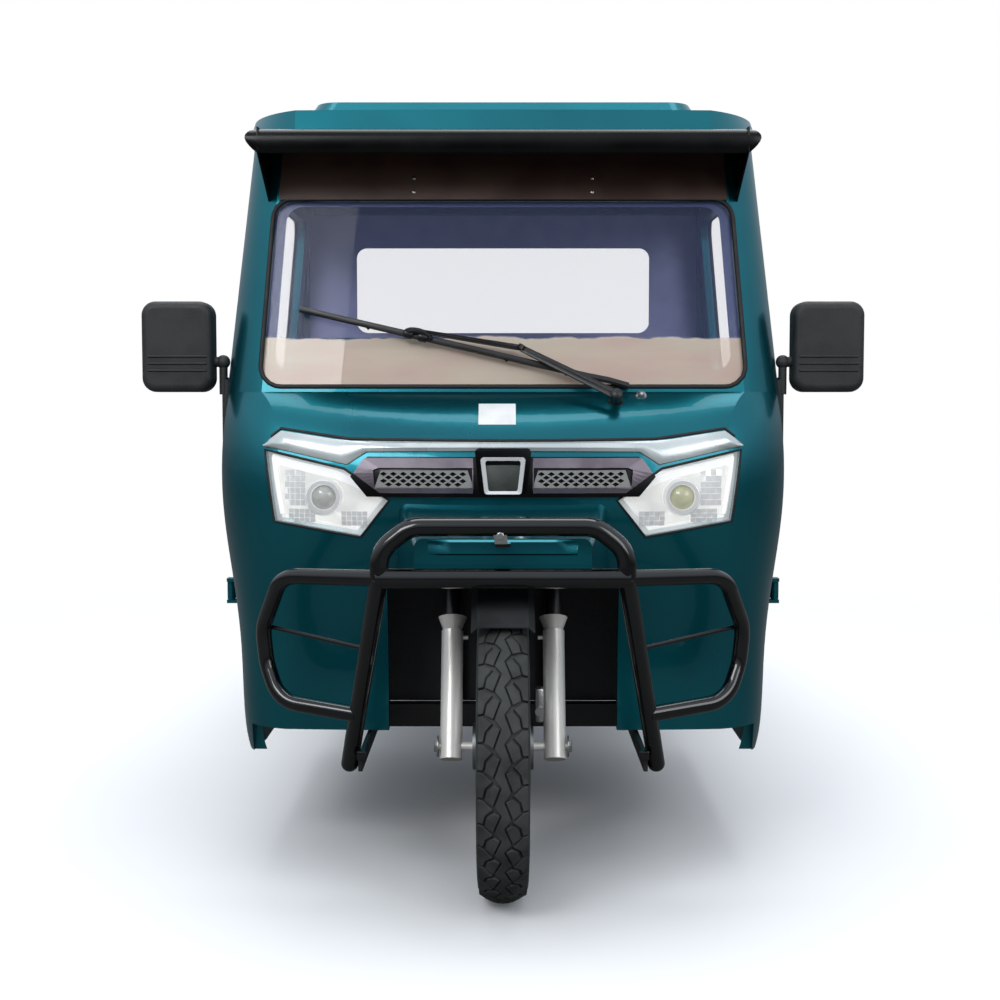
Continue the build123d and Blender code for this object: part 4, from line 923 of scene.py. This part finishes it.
class TRI_OT_wiper(bpy.types.Operator):
    """Make the wiper with its arm, saddle and blade, and the washer jet"""
    bl_idname = "tri.wiper"
    bl_label = "Wiper"

    def execute(self, context):
        shares = [step / 16 for step in range(17)]
        lip = sheet_of([[along_blade(s, 7) for s in shares], [along_blade(s, 18) for s in shares]], 1.6)
        spine = pipe([along_blade(s, 19) for s in shares], 4.5, sides=3)
        cover = sheet_of([[along_blade(s, 21 + 3 * sin(pi * s), -7) for s in shares],
                          [along_blade(s, 23 + 3 * sin(pi * s), 6) for s in shares]], 3, 1.0)
        pieces = [lip, spine, cover]
        for share in (0.2, 0.36, 0.62, 0.8):
            a, b = along_blade(share - 0.012, 17, -6), along_blade(share + 0.012, 17, 6)
            pieces.append(pipe([a, (a + b) / 2 + Vector((0, -0.007, 0.002)), b], 3.2, smooth=True, sides=3))
        pivot = glass_at(*WIPER_PIVOT, 2)
        pieces.append(
            turned(
                [(0, 0), (0, 15), (4, 15), (8, 11), (30, 9), (30, 12), (44, 11), (47, 6), (47, 0)], pivot,
                GLASS_OUT, 32,
            )
        )
        elbow = glass_at(*WIPER_ELBOW, 34)
        saddle = glass_at(*WIPER_SADDLE, 32)
        root = pivot + GLASS_OUT * 0.036
        for first, last, wide, thin in ((root, elbow, 10, 6), (elbow, saddle, 6.5, 4)):
            run = (last - first).normalized()
            across = run.cross(GLASS_OUT).normalized()
            rows = []
            for share in (0, 0.08, 0.5, 0.92, 1):
                middle = first.lerp(last, share)
                half = wide * (1 - 0.3 * share) * MM
                rows.append([middle - across * half, middle - across * half * 0.7, middle + GLASS_OUT * 0.003,
                             middle + across * half * 0.7, middle + across * half])
            pieces.append(sheet_of(rows, thin, 1.0))
        pieces.append(turned([(-5, 0), (-5, 8), (5, 8), (5, 0)], elbow, (elbow - root).cross(GLASS_OUT), 24))
        for shift in (-1, 1):
            middle = along_blade(0.355 + shift * 0.022, 24)
            pieces.append(
                turned([(-9, 0), (-9, 9), (-6, 10), (6, 10), (9, 9), (9, 0)], middle, (1, 0, -0.24), 16)
            )
        bridge = [along_blade(0.325, 25), saddle - Vector((0.016, 0, -0.002)),
                  saddle + Vector((0.02, 0, -0.004)), along_blade(0.4, 25)]
        pieces.append(pipe(bridge, 6.5, smooth=True, sides=3))
        settle(join(pieces), "wiper_arm_and_blade", "black_satin_metal", "root", replaces=["wiper"])
        jet_foot = glass_at(287, 996, 0)
        jet = turned([(0, 0), (0, 11), (3, 11), (6, 7), (14, 6), (17, 3), (17, 0)], jet_foot, GLASS_OUT, 24)
        settle(jet, "washer_jet", "bright_zinc", "root")
        return {"FINISHED"}


# Mirrors: a silvered glass behind and three moulded ribs on the housing's front
class TRI_OT_mirrors(bpy.types.Operator):
    """Add the silvered glasses and the moulded ribs to the mirror housings"""
    bl_idname = "tri.mirrors"
    bl_label = "Mirrors"

    def execute(self, context):
        corners = [(631, 1014), (766, 1014), (766, 1190), (631, 1190)]
        for side, word in SIDES:
            points = [at(side * a, 325.5, b) for a, b in rounded(corners, 22)]
            glass = plate(points, (0, 2.5, 0), 0.8)
            settle(glass, f"mirror_glass_{word}", "mirror_silver", "root")
            ribs = []
            for height in (1081, 1066, 1051):
                line = [surface("mirrors", side * (634 + 12.6 * step), height, 0.4) for step in range(11)]
                ribs.append(pipe(line, 2.6, sides=3))
            settle(join(ribs), f"mirror_ribs_{word}", "black_textured", "root")
        return {"FINISHED"}


# Seat: stuffed cushions with sewn channels
class SeatSizes(bpy.types.PropertyGroup):
    """How full the cushions are."""
    swell: bpy.props.FloatProperty(
        name="Swell", description="Furthest that the stuffing pushes the cover out", default=0.014,
        unit="LENGTH"
    )
    voxel: bpy.props.FloatProperty(
        name="Mesh size", description="Size of the mesh that the cover is simulated on", default=0.008,
        unit="LENGTH"
    )


# A sewn channel's half width and depth in metres
CHANNEL_HALF_WIDTH = 0.014
CHANNEL_DEPTH = 0.011
CLOTH_FRAMES = 20


def stuffed(name, node, body, channels, sizes):
    """A cushion swollen from the frame's block, with sewn channels pressed in across it."""
    low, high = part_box(node)
    middle, half = (low + high) / 2, (high - low) / 2
    deselect()
    obj = NODES[node].copy()
    obj.data = NODES[node].data.copy()
    for key in list(obj.keys()):
        del obj[key]
    bpy.context.collection.objects.link(obj)
    obj.hide_render = obj.hide_viewport = False
    close_up(obj)
    inset = sizes.swell * 0.8
    for vert in obj.data.vertices:
        for axis in range(3):
            vert.co[axis] = middle[axis] + (vert.co[axis] - middle[axis]) * (half[axis] - inset) / half[axis]
    finish_with(obj, "REMESH", mode="VOXEL", voxel_size=sizes.voxel * 1)
    rest = [vert.co.copy() for vert in obj.data.vertices]
    obj.select_set(True)
    bpy.context.view_layer.objects.active = obj
    cloth = obj.modifiers.new("Cover", "CLOTH")
    cloth.settings.use_pressure = True
    cloth.settings.uniform_pressure_force = 4
    cloth.settings.effector_weights.gravity = 0
    cloth.settings.quality = 4
    for frame_number in range(1, CLOTH_FRAMES + 1):
        bpy.context.scene.frame_set(frame_number)
    settled = obj.evaluated_get(bpy.context.evaluated_depsgraph_get())
    swollen = [vert.co.copy() for vert in settled.data.vertices]
    obj.modifiers.remove(cloth)
    bpy.context.scene.frame_set(1)
    for vert, first, last in zip(obj.data.vertices, rest, swollen):
        move = last - first
        vert.co = first + move * min(1.0, sizes.swell / max(move.length, 1e-9))
    for vert in obj.data.vertices:
        for line in channels:
            gap = abs(vert.co.x - middle.x - line) / CHANNEL_HALF_WIDTH
            if gap < 1:
                push = CHANNEL_DEPTH * (1 - gap) ** 2
                outward = vert.co - middle
                outward.x = 0
                if outward.length:
                    weight = min(1.0, max(abs(outward.y) / half.y, abs(outward.z) / half.z)) ** 3
                    vert.co -= outward.normalized() * push * weight
    finish_with(obj, "SUBSURF", levels=1, render_levels=1)
    for vert in obj.data.vertices:
        for axis in range(3):
            vert.co[axis] = min(max(vert.co[axis], low[axis]), high[axis])
    settle(obj, name, "seat_vinyl", body, replaces=[node])
    return obj


class TRI_OT_seat(bpy.types.Operator):
    """Stuff the seat cushion and the seat back and sew their channels"""
    bl_idname = "tri.seat"
    bl_label = "Seat"

    def execute(self, context):
        sizes = context.scene.tri_seat
        stuffed("seat_cushion_padded", "seat_cushion", "root", (-0.27, 0.0, 0.27), sizes)
        stuffed("seat_back_padded", "seat_back", "root", (-0.36, -0.12, 0.12, 0.36), sizes)
        return {"FINISHED"}


# Headlamps: a light guide, faceted reflector cells and a ringed projector behind each lens
LAMP = [(486, 884), (322, 848), (232, 786), (290, 713), (466, 742)]
PROJECTOR = (366, 790)
GUIDE_TOP = [(262, 802), (300, 828), (340, 846), (400, 859), (440, 868), (474, 875)]
GUIDE_FOOT = [(268, 794), (304, 814), (344, 829), (400, 841), (436, 850), (462, 856)]
# Fields of reflector cells: low and high X, low and high Z, cells across and up
CELL_FIELDS = [(276, 330, 732, 762, 5, 3), (404, 448, 772, 846, 4, 6), (384, 440, 738, 766, 5, 3)]


def on_lamp(x, z, side, depth):
    """A place inside a headlamp, a depth in mm behind its lens."""
    return surface("headlamp_lenses", side * x, z) + Vector((0, depth * MM, 0))


def lamp_cell(x, z, half_x, half_z, side, tilted):
    """One plate of the reflector, 3 mm thick, whose front leans forward on one side where it is tilted."""
    corners = [
        on_lamp(x + a * half_x, z + b * half_z, side, 22) for a, b in ((-1, -1), (1, -1), (1, 1), (-1, 1))
    ]
    cell = outline(corners)
    edit(cell)
    bpy.ops.mesh.extrude_region_move(TRANSFORM_OT_translate={"value": (0, -3 * MM, 0)})
    bpy.ops.object.mode_set(mode="OBJECT")
    for vert in cell.data.vertices:
        in_front = all((corner - vert.co).length >= 1e-6 for corner in corners)
        if tilted and in_front and vert.co.x > side * x * MM:
            vert.co.y -= 4 * MM
    return close_up(cell)


class TRI_OT_headlamps(bpy.types.Operator):
    """Fit the light guides, reflector cells, projectors and gaskets of both headlamps"""
    bl_idname = "tri.headlamps"
    bl_label = "Headlamps"

    def execute(self, context):
        for side, word, glass in ((1, "right", "projector_yellow"), (-1, "left", "projector_grey")):
            line = divided(scaled(LAMP, (360, 795), 1.02, 1.03), step=30)
            gasket = pipe([surface("front_cowl", side * x, z, 0.3) for x, z in line], 2.6, closed=True)
            settle(gasket, f"headlamp_gasket_{word}", "seal_rubber", "root")
            band = sheet_of([[on_lamp(x, z, side, 8) for x, z in GUIDE_TOP],
                             [on_lamp(x, z, side, 14) for x, z in GUIDE_FOOT]], 2)
            edge = pipe(
                [on_lamp(x, z, side, 9) for x, z in ((470, 872), (464, 820), (452, 756))], 5, smooth=True,
            )
            settle(join([band, edge]), f"headlamp_light_guide_{word}", "light_guide", "root")
            cells = []
            for low_x, high_x, low_z, high_z, across, up in CELL_FIELDS:
                for column in range(across):
                    for row in range(up):
                        x = low_x + (high_x - low_x) * (column + 0.5) / across
                        z = low_z + (high_z - low_z) * (row + 0.5) / up
                        half_x = (high_x - low_x) / across * 0.46
                        half_z = (high_z - low_z) / up * 0.46
                        cells.append(lamp_cell(x, z, half_x, half_z, side, (column + row) % 2))
            settle(join(cells), f"headlamp_cells_{word}", "chrome", "root", smooth=False)
            middle = on_lamp(*PROJECTOR, side, 14)
            ring = turned([(-5, 27), (-5, 34), (2, 38), (14, 38), (14, 30), (4, 27)], middle, "Y", 40)
            settle(ring, f"projector_ring_{word}", "chrome", "root")
            lens = turned([(-6, 0), (-5, 10), (-1, 19), (5, 25), (12, 25), (12, 0)], middle, "Y", 32)
            settle(lens, f"projector_lens_{word}", glass, "root")
        return {"FINISHED"}


# Grille: black surround and silver rim round a blank badge, and bevels round the mesh
BADGE = [(-42, 872), (42, 872), (34, 802), (-34, 802)]
BADGE_CENTRE = (0, 837)
BEVEL_OUTER = [(60, 868), (279, 868), (300, 839), (246, 802), (60, 802)]
BEVEL_INNER = [(60, 849), (249, 849), (259, 845), (256, 811), (60, 811)]


class TRI_OT_grille(bpy.types.Operator):
    """Fit the badge's rim and surround, the mesh's backing and its bevels"""
    bl_idname = "tri.grille"
    bl_label = "Grille"

    def execute(self, context):
        front = surface("badge_plate", *BADGE_CENTRE).y
        outer = rounded(scaled(BADGE, BADGE_CENTRE, 1.08, 1.05), 6)
        inner = rounded(scaled(BADGE, BADGE_CENTRE, 0.86, 0.88), 5)
        rim = collar(upright(outer, front - 0.003), upright(inner, front - 0.0015), 4)
        settle(rim, "badge_rim", "chrome", "root")
        wide = rounded([(-57, 892), (57, 892), (48, 799), (-48, 799)], 8)
        surround = eased(plate(upright(wide, front + 0.005), (0, 7, 0)), 1.5)
        settle(surround, "badge_surround", "black_gloss", "root")
        rows = [
            [surface("front_cowl", -252 + 42 * step, z, 0.8) for step in range(13)] for z in (808, 830, 852)
        ]
        settle(sheet_of(rows, 0.5), "grille_backing", "black_gloss", "root")
        for side, word in SIDES:
            outer = divided([(side * a, b) for a, b in BEVEL_OUTER], count=6)
            inner = divided([(side * a, b) for a, b in BEVEL_INNER], count=6)
            bevel = collar([surface("front_cowl", x, z, 10.8) for x, z in outer],
                           [surface("front_cowl", x, z, 14) for x, z in inner], 2)
            settle(bevel, f"grille_bevel_{word}", "bevel_grey", "root", smooth=False)
        return {"FINISHED"}


# Brow: a pressed silver band over the grille that widens over the lamps, with a black bead along its top as
# painted shade of the recess round it
BROW = [
    ((0, 902), (0, 884)), ((100, 902.5), (95, 883.5)), ((200, 903.5), (185, 883)), ((309, 905), (275, 882)),
    ((345, 910), (315, 856)), ((400, 918), (372, 868)), ((455, 926), (430, 881)), ((476, 909), (464, 888)),
    ((489, 895), (487, 892)),
]
BROW_SECTION = [(0.0, -1.0), (0.06, 5.0), (0.3, 9.0), (0.72, 9.0), (0.97, 4.0), (1.0, -1.0)]


class TRI_OT_brow(bpy.types.Operator):
    """Press the silver brow and lay a black bead along its top as painted shade of its recess"""
    bl_idname = "tri.brow"
    bl_label = "Brow"

    def execute(self, context):
        pairs = [((-a, b), (-c, d)) for (a, b), (c, d) in reversed(BROW[1:])] + BROW
        rows = []
        for share, lift in BROW_SECTION:
            row = []
            for (a, b), (c, d) in pairs:
                x, z = a + (c - a) * share, b + (d - b) * share
                row.append(surface("front_cowl", x, z, lift))
            rows.append(row)
        settle(sheet_of(rows, 2), "brow_pressed", "satin_silver", "root", replaces=["brow_trim"])
        # A black rubber bead that stands in for the recess's shadow above the brow: painted shade
        line = [surface("front_cowl", a, b + 4, 0.4) for (a, b), _ in pairs[1:-1]]
        settle(pipe(line, 3.2, sides=3), "brow_painted_shadow_line", "seal_rubber", "root")
        return {"FINISHED"}


# Visor: a folded lip with blunt beaks at its ends, a top plate and a gusset on each side
# Rows of the fold: height, distance behind the front axle, half width
VISOR_ROWS = [
    (1544.5, 330, 504), (1544.5, 200, 505), (1542, 168, 512), (1534, 154, 524), (1521, 150.5, 531.5),
    (1504, 151, 520), (1490, 154, 505), (1489.2, 160, 502),
]
GUSSET = [(152, 1543), (152, 1491), (305, 1409), (344, 1409), (344, 1543)]


class TRI_OT_visor(bpy.types.Operator):
    """Fold the sun visor with its beaks and gussets"""
    bl_idname = "tri.visor"
    bl_label = "Sun visor"

    def execute(self, context):
        rows = [[at(half * (step / 10 - 1), y, z) for step in range(21)] for z, y, half in VISOR_ROWS]
        fold = sheet_of(rows, 3.5)
        finish_with(fold, "SUBSURF", levels=1, render_levels=1)
        pieces = [fold]
        for side in (1, -1):
            points = [at(side * 498, y, z) for y, z in GUSSET]
            pieces.append(plate(points, (side * 4, 0, 0), 1.0))
        settle(join(pieces), "visor_folded", "black_gloss", "root", replaces=["visor"])
        return {"FINISHED"}


# Cab trim: lining of the rear wall, the windscreen's ceramic border, screws and a blank sticker
REAR_OPENING = [(-405, 1173), (405, 1173), (405, 1407), (-405, 1407)]


class TRI_OT_cab_trim(bpy.types.Operator):
    """Line the rear wall and add the windscreen's border, the header's screws and the blank sticker"""
    bl_idname = "tri.cab_trim"
    bl_label = "Cab trim"

    def execute(self, context):
        wall_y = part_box("back_panel")[0].y - 0.0004
        inner = rounded(REAR_OPENING, 33, 6)
        outer = [(max(-534, min(534, a * 1.32)), 1160 if b < 1290 else 1496) for a, b in inner]
        # The lining's lavender is a painted reflection: it stands in for the sky seen in the windscreen
        lining = collar(upright(outer, wall_y - 0.002), upright(inner, wall_y - 0.002), 3)
        settle(lining, "rear_wall_lining_painted_sky_reflection", "wall_lining", "root", smooth=False)
        clear = rounded([(-482, 1049), (482, 1049), (461, 1400), (-461, 1400)], 36, 6)
        edge = rounded([(-505.5, 1022.5), (505.5, 1022.5), (481.5, 1409.5), (-481.5, 1409.5)], 38, 6)
        behind = Vector((0, 0.0075, 0))
        border = collar([surface("windscreen", a, b) + behind for a, b in edge],
                        [surface("windscreen", a, b) + behind for a, b in clear], 0.8)
        settle(border, "windscreen_ceramic_border", "frit", "root", smooth=False)
        screws = []
        for x, z in ((190, 1460), (190, 1430), (-190, 1460), (-190, 1430)):
            place = surface("header_panel", x, z)
            screws.append(turned([(-1, 0), (-1, 4), (1, 4), (2, 2.5), (2, 0)], place, (0, -1, 0.3), 16))
        settle(join(screws), "header_screws", "bright_zinc", "root")
        rows = [
            [surface("front_cowl", x, z, 0.5) for x in (-50, -30, -10, 8, 26)] for z in (938, 952, 966, 980)
        ]
        settle(sheet_of(rows, 0.4), "blank_sticker", "white_paper", "root", smooth=False)
        return {"FINISHED"}


# Nose and guard: the raised plateau, its bolt and bracket, and lugs on the guard's legs
# Rows of the plateau: height, lift off the cowl, share of the full width
PLATEAU_ROWS = [(727, -1, 1.0), (722, 5, 0.985), (700, 6, 0.975), (696, -1, 0.97)]


class TRI_OT_nose(bpy.types.Operator):
    """Add the nose's raised plateau, the bolt on its bracket and the guard's lugs"""
    bl_idname = "tri.nose"
    bl_label = "Nose and guard fittings"

    def execute(self, context):
        columns = [-148 + 296 * step / 12 for step in range(13)]
        rows = []
        for z, lift, share in PLATEAU_ROWS:
            row = []
            for x in columns:
                edge = -1 if abs(x) > 147 else lift
                row.append(surface("front_cowl", x * share, z, edge))
            rows.append(row)
        plateau = sheet_of(rows, 3)
        settle(plateau, "nose_plateau", "teal_paint", "root")
        fittings = [bolt(at(-5, -181, 738), (0, -1, 0), 13)]
        fittings.append(brick((-16, 8), (-180, -172), (722, 744), 1.5))
        settle(join(fittings), "guard_bolt_and_bracket", "bright_zinc", "root")
        lugs = [brick((side * 276 - 9, side * 276 + 9), (-62, -46), (288, 306), 2) for side in (1, -1)]
        settle(join(lugs), "guard_leg_lugs", "black_tube", "root")
        return {"FINISHED"}


# Controls: grips, levers and switch housings on the bar
# A brake lever from its pivot to its tip, in mm on the steering axis's own directions
LEVER = [(180, 84, 812), (190, 40, 806), (250, 44, 796), (318, 70, 780)]


class TRI_OT_controls(bpy.types.Operator):
    """Fit the grips, the levers and the switch housings"""
    bl_idname = "tri.controls"
    bl_label = "Controls"

    def execute(self, context):
        for side, word in SIDES:
            outer = steered(side * 322, 160, 780)
            inner = steered(side * 205, 98, 806)
            run = (inner - outer).normalized()
            length = (inner - outer).length / MM
            profile = [(-4, 0), (-4, 17), (2, 19)]
            for ridge in range(8):
                along = 8 + ridge * 13
                profile += [(along, 16), (along + 3, 17.5), (along + 10, 17.5), (along + 12, 16)]
            profile += [(length - 6, 20), (length - 2, 20), (length - 2, 0)]
            grip = turned(profile, outer, run, 32)
            settle(grip, f"grip_{word}", "seal_rubber", "steering")
            line = [steered(side * x, n, s) for x, n, s in LEVER]
            lever = pipe(line, 5, smooth=True)
            ball = turned([(-7, 0), (-6, 5), (0, 7.5), (6, 5), (7, 0)], line[-1], "X", 16)
            settle(join([lever, ball]), f"brake_lever_{word}", "bar_chrome", "steering")
            pod = turned(
                [(0, 0), (0, 17), (3, 20), (34, 20), (38, 17), (38, 0)], steered(side * 196, 94, 809), -run,
                24,
            )
            settle(pod, f"switch_housing_{word}", "cabin_plastic", "steering")
        return {"FINISHED"}


# Cargo bed: pressed ribs, top rails, latches, rope hooks and floor ribs
RIB_PLACES = [1390 + 180 * step for step in range(8)]
HOOK_PLACES = [1480 + 360 * step for step in range(4)]


class TRI_OT_bed(bpy.types.Operator):
    """Add ribs, rails, latches and rope hooks to the cargo bed and its tailgate"""
    bl_idname = "tri.bed"
    bl_label = "Cargo bed"

    def execute(self, context):
        for side, word in SIDES:
            ribs = []
            for y in RIB_PLACES:
                x = sorted((side * 556, side * 563))
                ribs.append(brick(x, (y - 14, y + 14), (684, 934), 2.5))
            x = sorted((side * 552, side * 566))
            ribs.append(brick(x, (1292, 2768), (940, 966), 3))
            settle(join(ribs), f"bed_side_ribs_{word}", "teal_paint", "root", smooth=False)
            hooks = []
            for y in HOOK_PLACES:
                path = [at(side * 545, y - 24, 661), at(side * 566, y - 20, 648), at(side * 570, y, 640),
                        at(side * 566, y + 20, 648), at(side * 545, y + 24, 661)]
                hooks.append(pipe(path, 4, smooth=True, sides=3))
            settle(join(hooks), f"rope_hooks_{word}", "chassis_black", "root")
            latch = [brick(sorted((side * 562, side * 569)), (2728, 2766), (872, 912), 2)]
            latch.append(bolt(at(side * 568, 2742, 892), (side, 0, 0), 12))
            latch.append(
                pipe(
                    [at(side * 567, 2748, 892), at(side * 572, 2760, 890), at(side * 572, 2790, 890)], 4,
                    sides=3,
                )
            )
            settle(join(latch), f"tailgate_latch_{word}", "bright_zinc", "root")
            eye = brick(sorted((side * 558, side * 566)), (2784, 2800), (878, 902), 2)
            settle(eye, f"tailgate_eye_{word}", "bright_zinc", "tailgate")
        ribs = [
            brick((x - 15, x + 15), (2804, 2810), (684, 934), 2.5) for x in (-450, -270, -90, 90, 270, 450)
        ]
        ribs.append(brick((-556, 556), (2803, 2812), (940, 966), 3))
        settle(join(ribs), "tailgate_ribs", "teal_paint", "tailgate", smooth=False)
        floor = [brick((x - 22, x + 22), (1318, 2766), (663.5, 667.5), 2) for x in range(-450, 451, 100)]
        settle(join(floor), "bed_floor_ribs", "teal_paint", "root", smooth=False)
        return {"FINISHED"}


# Rear lamps: a bezel, an amber end and a clear reversing strip over each red lens
class TRI_OT_rear_lamps(bpy.types.Operator):
    """Divide the tail lamps into their red, amber and clear parts"""
    bl_idname = "tri.rear_lamps"
    bl_label = "Rear lamps"

    def execute(self, context):
        for side, word in SIDES:
            y = (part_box("tail_lamps")[1].y - AXLE.y) / MM
            outer = rounded(
                [(side * 363, 548), (side * 517, 548), (side * 517, 632), (side * 363, 632)], 6, 3,
            )
            inner = rounded(
                [(side * 369, 554), (side * 511, 554), (side * 511, 626), (side * 369, 626)], 4, 3,
            )
            bezel = collar([at(a, y - 1, b) for a, b in outer], [at(a, y - 1, b) for a, b in inner], 5)
            settle(bezel, f"tail_lamp_bezel_{word}", "black_gloss", "root")
            amber = brick(sorted((side * 470, side * 508)), (y - 2, y + 2.5), (556, 624), 1.5)
            settle(amber, f"tail_lamp_amber_{word}", "amber_lens", "root")
            clear = brick(sorted((side * 372, side * 404)), (y - 2, y + 2.5), (556, 624), 1.5)
            settle(clear, f"tail_lamp_reversing_{word}", "white_lens", "root")
        return {"FINISHED"}


# Wheels and instrument: nuts, hub caps, axle nuts, the speedometer drive and its dial
# The instrument's middle on the steering axis's own directions
INSTRUMENT = (0, 70, 870)
# Closed outline of a hub cap: distance out from the hub and radius
HUB_CAP = [(0, 30), (0, 36), (5, 36), (12, 28), (15, 14), (15, 0), (12, 0), (12, 13), (9, 25), (3, 30)]


class TRI_OT_wheel_fittings(bpy.types.Operator):
    """Add wheel nuts, hub caps, axle nuts, the speedometer drive and its dial"""
    bl_idname = "tri.wheel_fittings"
    bl_label = "Wheel fittings"

    def execute(self, context):
        for side, word in SIDES:
            low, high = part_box(f"rear_tyre_{word}")
            hub = (low + high) / 2
            hub.x = side * 0.5
            out = Vector((side, 0, 0))
            nuts = []
            for step in range(5):
                turn = 2 * pi * step / 5 + pi / 10
                place = hub + out * 0.0138 + Vector((0, cos(turn), sin(turn))) * 0.074
                nuts.append(bolt(place, out, 17))
            settle(join(nuts), f"wheel_nuts_{word}", "bright_zinc", f"rear_wheel_{word}")
            cap = turned(HUB_CAP, hub + out * 0.0402, out, 36)
            settle(cap, f"hub_cap_{word}", "black_textured", f"rear_wheel_{word}")
            nut = bolt(at(side * 128, 0, 302), out, 22, 9)
            settle(nut, f"front_axle_nut_{word}", "bright_zinc", "steering")
        box = brick((64, 80), (-14, 14), (352, 420), 4)
        nipple = turned([(0, 0), (0, 9), (10, 9), (12, 7), (12, 0)], at(72, -24, 376), "Y", 20)
        settle(join([box, nipple]), "speedometer_drive", "bright_zinc", "steering")
        dial = turned(
            [(-1, 0), (-1, 30), (4, 32), (7, 30), (7, 26), (4, 25), (4, 0)], steered(*INSTRUMENT), STEER_UP,
            40,
        )
        settle(dial, "instrument_dial", "cabin_plastic", "steering")
        glass = turned([(4, 0), (4, 25), (5.5, 25), (5.5, 0)], steered(*INSTRUMENT), STEER_UP, 40)
        settle(glass, "instrument_glass", "white_lens", "steering")
        return {"FINISHED"}


OPERATORS = (
    TRI_OT_stage,
    TRI_OT_frame_finishes,
    TRI_OT_tyres,
    TRI_OT_seals,
    TRI_OT_wiper,
    TRI_OT_mirrors,
    TRI_OT_seat,
    TRI_OT_headlamps,
    TRI_OT_grille,
    TRI_OT_brow,
    TRI_OT_visor,
    TRI_OT_cab_trim,
    TRI_OT_nose,
    TRI_OT_controls,
    TRI_OT_bed,
    TRI_OT_rear_lamps,
    TRI_OT_wheel_fittings,
)


class TRI_PT_panel(bpy.types.Panel):
    """Lists what the vehicle is dressed with"""
    bl_label = "Tricycle"
    bl_idname = "TRI_PT_panel"
    bl_space_type = "VIEW_3D"
    bl_region_type = "UI"
    bl_category = "Tricycle"

    def draw(self, context):
        for operator in OPERATORS:
            self.layout.operator(operator.bl_idname)


CLASSES = (StageSettings, TyreSizes, SeatSizes, *OPERATORS, TRI_PT_panel)


def register():
    for cls in CLASSES:
        bpy.utils.register_class(cls)
    bpy.types.Scene.tri_stage = bpy.props.PointerProperty(type=StageSettings)
    bpy.types.Scene.tri_tyres = bpy.props.PointerProperty(type=TyreSizes)
    bpy.types.Scene.tri_seat = bpy.props.PointerProperty(type=SeatSizes)


def unregister():
    del bpy.types.Scene.tri_seat
    del bpy.types.Scene.tri_tyres
    del bpy.types.Scene.tri_stage
    for cls in reversed(CLASSES):
        bpy.utils.unregister_class(cls)


def main():
    register()
    for operator in OPERATORS:
        group, name = operator.bl_idname.split(".")
        getattr(getattr(bpy.ops, group), name)()


if __name__ == "__main__":
    main()
